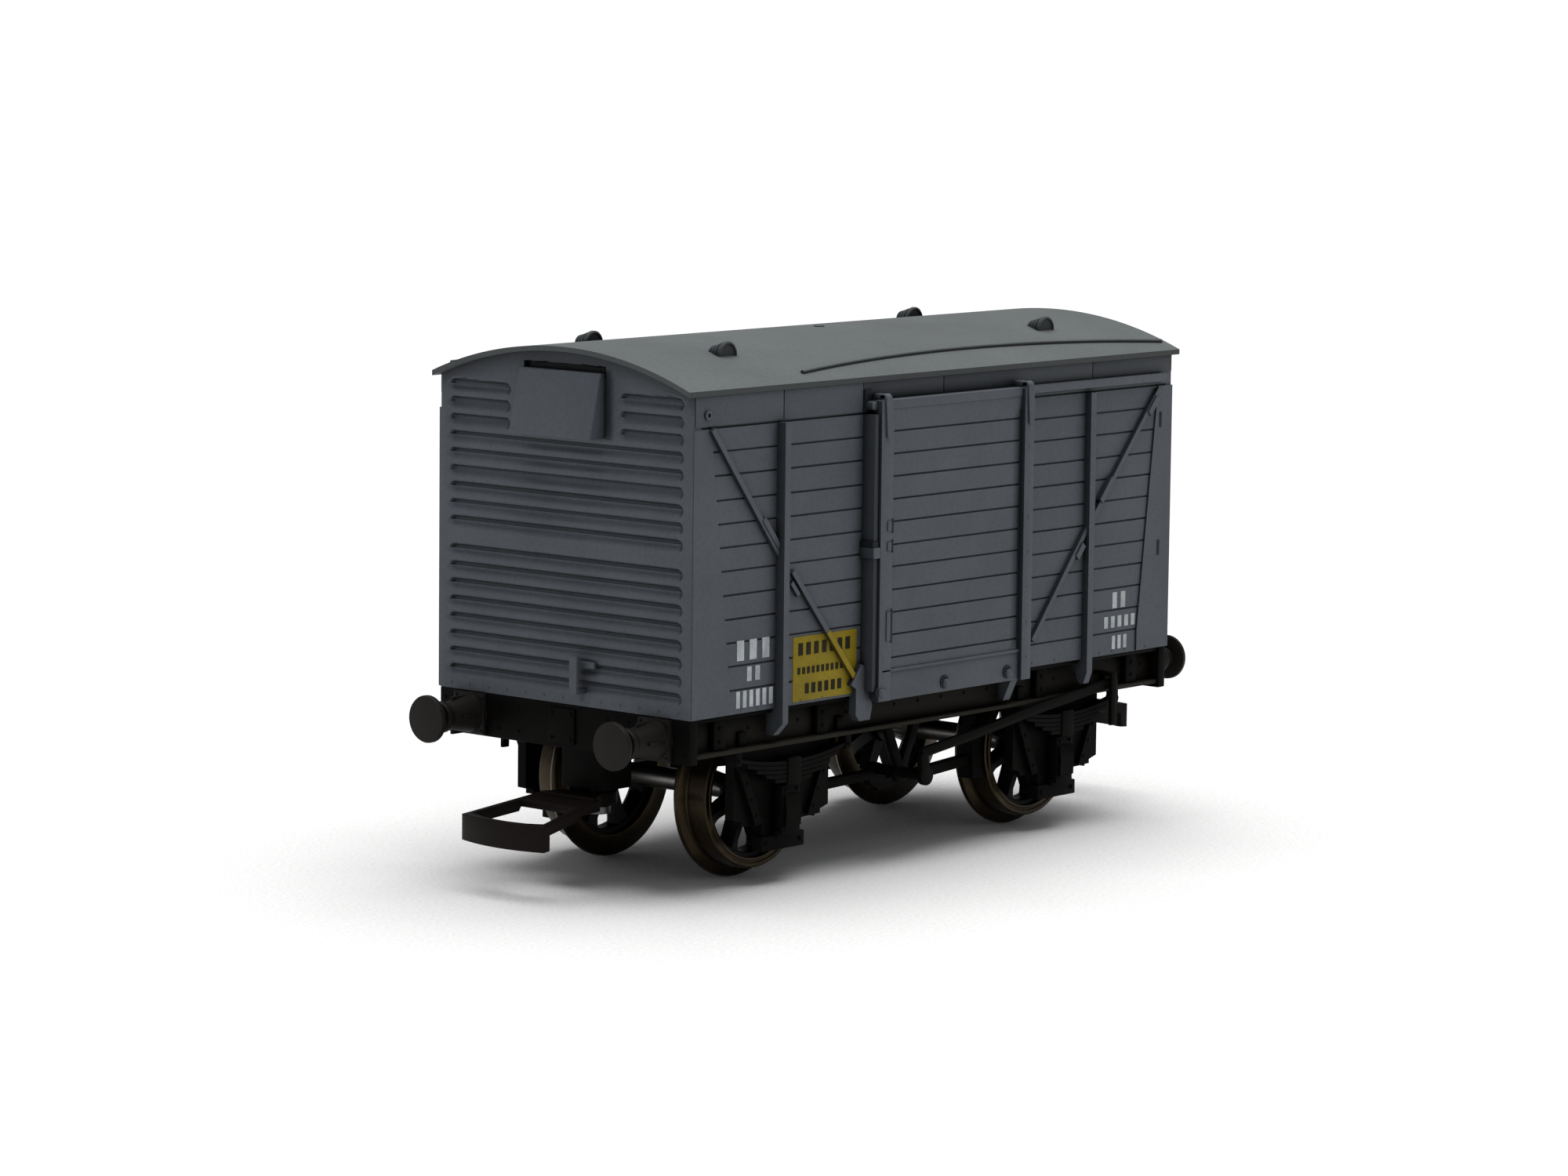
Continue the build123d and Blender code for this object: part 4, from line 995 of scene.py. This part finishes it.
def buffer_housings():
    """Four tapered housings with ribs and a bolted square base."""
    bm = bmesh.new()
    for turn in (NO_TURN, TURN):
        for y in (-BUFFER_Y, BUFFER_Y):
            centre = Vector((-BODY_END, y, BUFFER_Z))
            box(bm, (-35.05, y - 1.9, BUFFER_Z - 1.9), (-34.5, y + 1.9, BUFFER_Z + 1.9), 0.14, turn)
            profile = [(0, 1.95), (0.4, 1.8), (0.7, 1.72), (3.4, 1.22), (3.6, 1.32), (3.75, 1.42),
                       (4.2, 1.42), (4.3, 1.35), (4.3, 0.86), (2.0, 0.86)]
            lathe(bm, profile, centre, (-1, 0, 0), 44, turn)
            for k in range(4):
                angle = math.pi / 4 + math.pi / 2 * k
                away = Vector((0, math.cos(angle), math.sin(angle)))
                rivet(bm, centre + away * 2.25 - Vector((0.4, 0, 0)), (-1, 0, 0), 0.2, 0.14, turn)
                rib = Vector((0, math.cos(angle - math.pi / 4), math.sin(angle - math.pi / 4)))
                place = centre + rib * 1.55
                box(bm, (place.x - 2.6, place.y - 0.16, place.z - 0.16),
                    (place.x - 0.3, place.y + 0.16, place.z + 0.16), 0.06, turn)
    return make_piece("buffer_shanks", bm, BUFFER_BROWN, "van", ["buffer_housings"],
                      35.0)


def buffer_head(end, side, turn):
    """Slightly domed buffer head on its ram."""
    bm = bmesh.new()
    profile = [(-5.0, 0), (-5.0, 0.8), (-1.0, 0.8), (-0.7, 0.95), (-0.6, 1.95), (-0.5, 2.15),
               (-0.18, 2.15), (-0.06, 2.08), (-0.02, 1.6), (0.03, 0.9), (0.05, 0)]
    lathe(bm, profile, (-BUFFER_FACE, -BUFFER_Y, BUFFER_Z), (-1, 0, 0), 56, turn)
    name = "buffer_head_" + end + "_" + side
    return make_piece("head_" + end + "_" + side, bm, BUFFER_BROWN, "van", [name],
                      35.0)


# ---------------------------------------------------------------- wheels

def tyre(end, side, turn):
    """Turned metal tyre with a flange and a coned tread."""
    bm = bmesh.new()
    profile = [(7.2, 6.02), (7.2, 7.7), (7.32, 7.92), (7.55, 8.0), (7.8, 7.9), (7.95, 7.55),
               (8.05, 7.18), (8.2, 7.06), (9.9, 6.96), (10.12, 6.9), (10.2, 6.78), (10.2, 6.5),
               (10.12, 6.42), (10.12, 6.3), (10.2, 6.22), (10.2, 6.02), (10.1, 6.0), (7.3, 6.0),
               (7.2, 6.02)]
    lathe(bm, profile, (-WHEEL_X, 0, AXLE_Z), (0, -1, 0), 96, turn)
    name = "tyre_" + end + "_" + side
    return make_piece("rim_" + end + "_" + side, bm, TYRE_METAL, "wheelset_" + end, [name],
                      30.0)


def wheel_centre(end, side, turn):
    """Wheel centre with eight tapered spokes between a hub and a rim."""
    bm = bmesh.new()
    centre = Vector((-WHEEL_X, 0, AXLE_Z))
    rim = [(7.7, 5.5), (7.7, 6.0), (9.7, 6.0), (9.7, 5.62), (9.55, 5.5), (7.85, 5.42), (7.7, 5.5)]
    lathe(bm, rim, centre, (0, -1, 0), 72, turn)
    hub = [(7.4, 1.0), (7.4, 1.75), (8.0, 1.8), (9.9, 1.75), (10.15, 1.55), (10.2, 1.2), (10.2, 1.0),
           (7.4, 1.0)]
    lathe(bm, hub, centre, (0, -1, 0), 40, turn)
    for number in range(SPOKE_COUNT):
        angle = 2 * math.pi / SPOKE_COUNT * (number + 0.5)
        along = Vector((math.cos(angle), 0, math.sin(angle)))
        across = Vector((-math.sin(angle), 0, math.cos(angle)))
        rings = []
        for reach, wide, face, back in ((1.5, 0.72, -9.75, -7.9), (2.2, 0.62, -9.55, -8.0),
                                        (4.6, 0.55, -9.4, -8.0), (5.2, 0.7, -9.5, -7.9),
                                        (5.7, 0.95, -9.6, -7.8)):
            ring = []
            for side_share, y in ((-1, back), (-1, face + 0.35), (-0.55, face), (0.55, face),
                                  (1, face + 0.35), (1, back)):
                place = centre + along * reach + across * wide * side_share
                ring.append(bm.verts.new(turn @ Vector((place.x, y, place.z))))
            rings.append(ring)
        join_rings(bm, rings)
        bm.faces.new(rings[0])
        bm.faces.new(rings[-1][::-1])
    name = "wheel_centre_" + end + "_" + side
    return make_piece("spokes_" + end + "_" + side, bm, WHEEL_BLACK, "wheelset_" + end, [name],
                      35.0)


def axle(end, turn):
    """Turned steel axle with cone points."""
    bm = bmesh.new()
    profile = [(-13.4, 0), (-13.35, 0.12), (-12.9, 0.45), (-12.6, 0.5), (-10.7, 0.5), (-10.6, 0.9),
               (-10.5, 1.0), (10.5, 1.0), (10.6, 0.9), (10.7, 0.5), (12.6, 0.5), (12.9, 0.45),
               (13.35, 0.12), (13.4, 0)]
    lathe(bm, profile, (-WHEEL_X, 0, AXLE_Z), (0, 1, 0), 32, turn)
    return make_piece("shaft_" + end, bm, AXLE_STEEL, "wheelset_" + end, ["axle_" + end],
                      35.0)


# ---------------------------------------------------------------- putting the van together

body_sides()
body_ends()
body_framing()
markings()
roof_sheet()
roof_vents()
buffer_housings()
for side, turn in (("near", NO_TURN), ("far", TURN)):
    door(side, turn)
    door_fittings(side, turn)
    solebar(side, turn)
for end, turn in (("front", NO_TURN), ("rear", TURN)):
    headstock(end, turn)
    axle(end, turn)
QUARTERS = (
    ("front", "near", NO_TURN),
    ("front", "far", FLIP_Y),
    ("rear", "far", TURN),
    ("rear", "near", TURN @ FLIP_Y),
)
for end, side, turn in QUARTERS:
    axle_guard(end + "_" + side, turn)
    axlebox(end + "_" + side, turn)
    leaf_spring(end + "_" + side, turn)
    wheel_centre(end, side, turn)
    tyre(end, side, turn)
    buffer_head(end, side, turn)

REFINED = (
    (("end_vent_front", "end_vent_rear"), BODY_GREY, "body_grey", 0.14),
    (("lamp_brackets",), BODY_GREY, "body_grey", 0.06),
    (("chassis_floor", "lever_guards", "push_rods_near", "push_rods_far", "v_hanger_near",
      "v_hanger_far", "brake_lever_near", "brake_lever_far", "brake_shoes_near",
      "brake_shoes_far", "coupling_pocket_front", "coupling_pocket_rear"),
     FRAME_BLACK, "frame_black", 0.08),
    (("coupling_front", "coupling_rear"), COUPLING_BROWN, "coupling_brown", 0.12),
    (("ballast_weight",), WEIGHT_STEEL, "weight_steel", 0.08),
    (("weight_screws", "coupling_screw_front", "coupling_screw_rear"), SCREW_STEEL,
     "screw_steel", 0.05),
    (("axle_bearings",), BRASS, "bearing_brass", 0.05),
)
for nodes, material, slot, bevel in REFINED:
    for node in nodes:
        refined(node + "_detail", node, material, bevel)

camera()
studio()
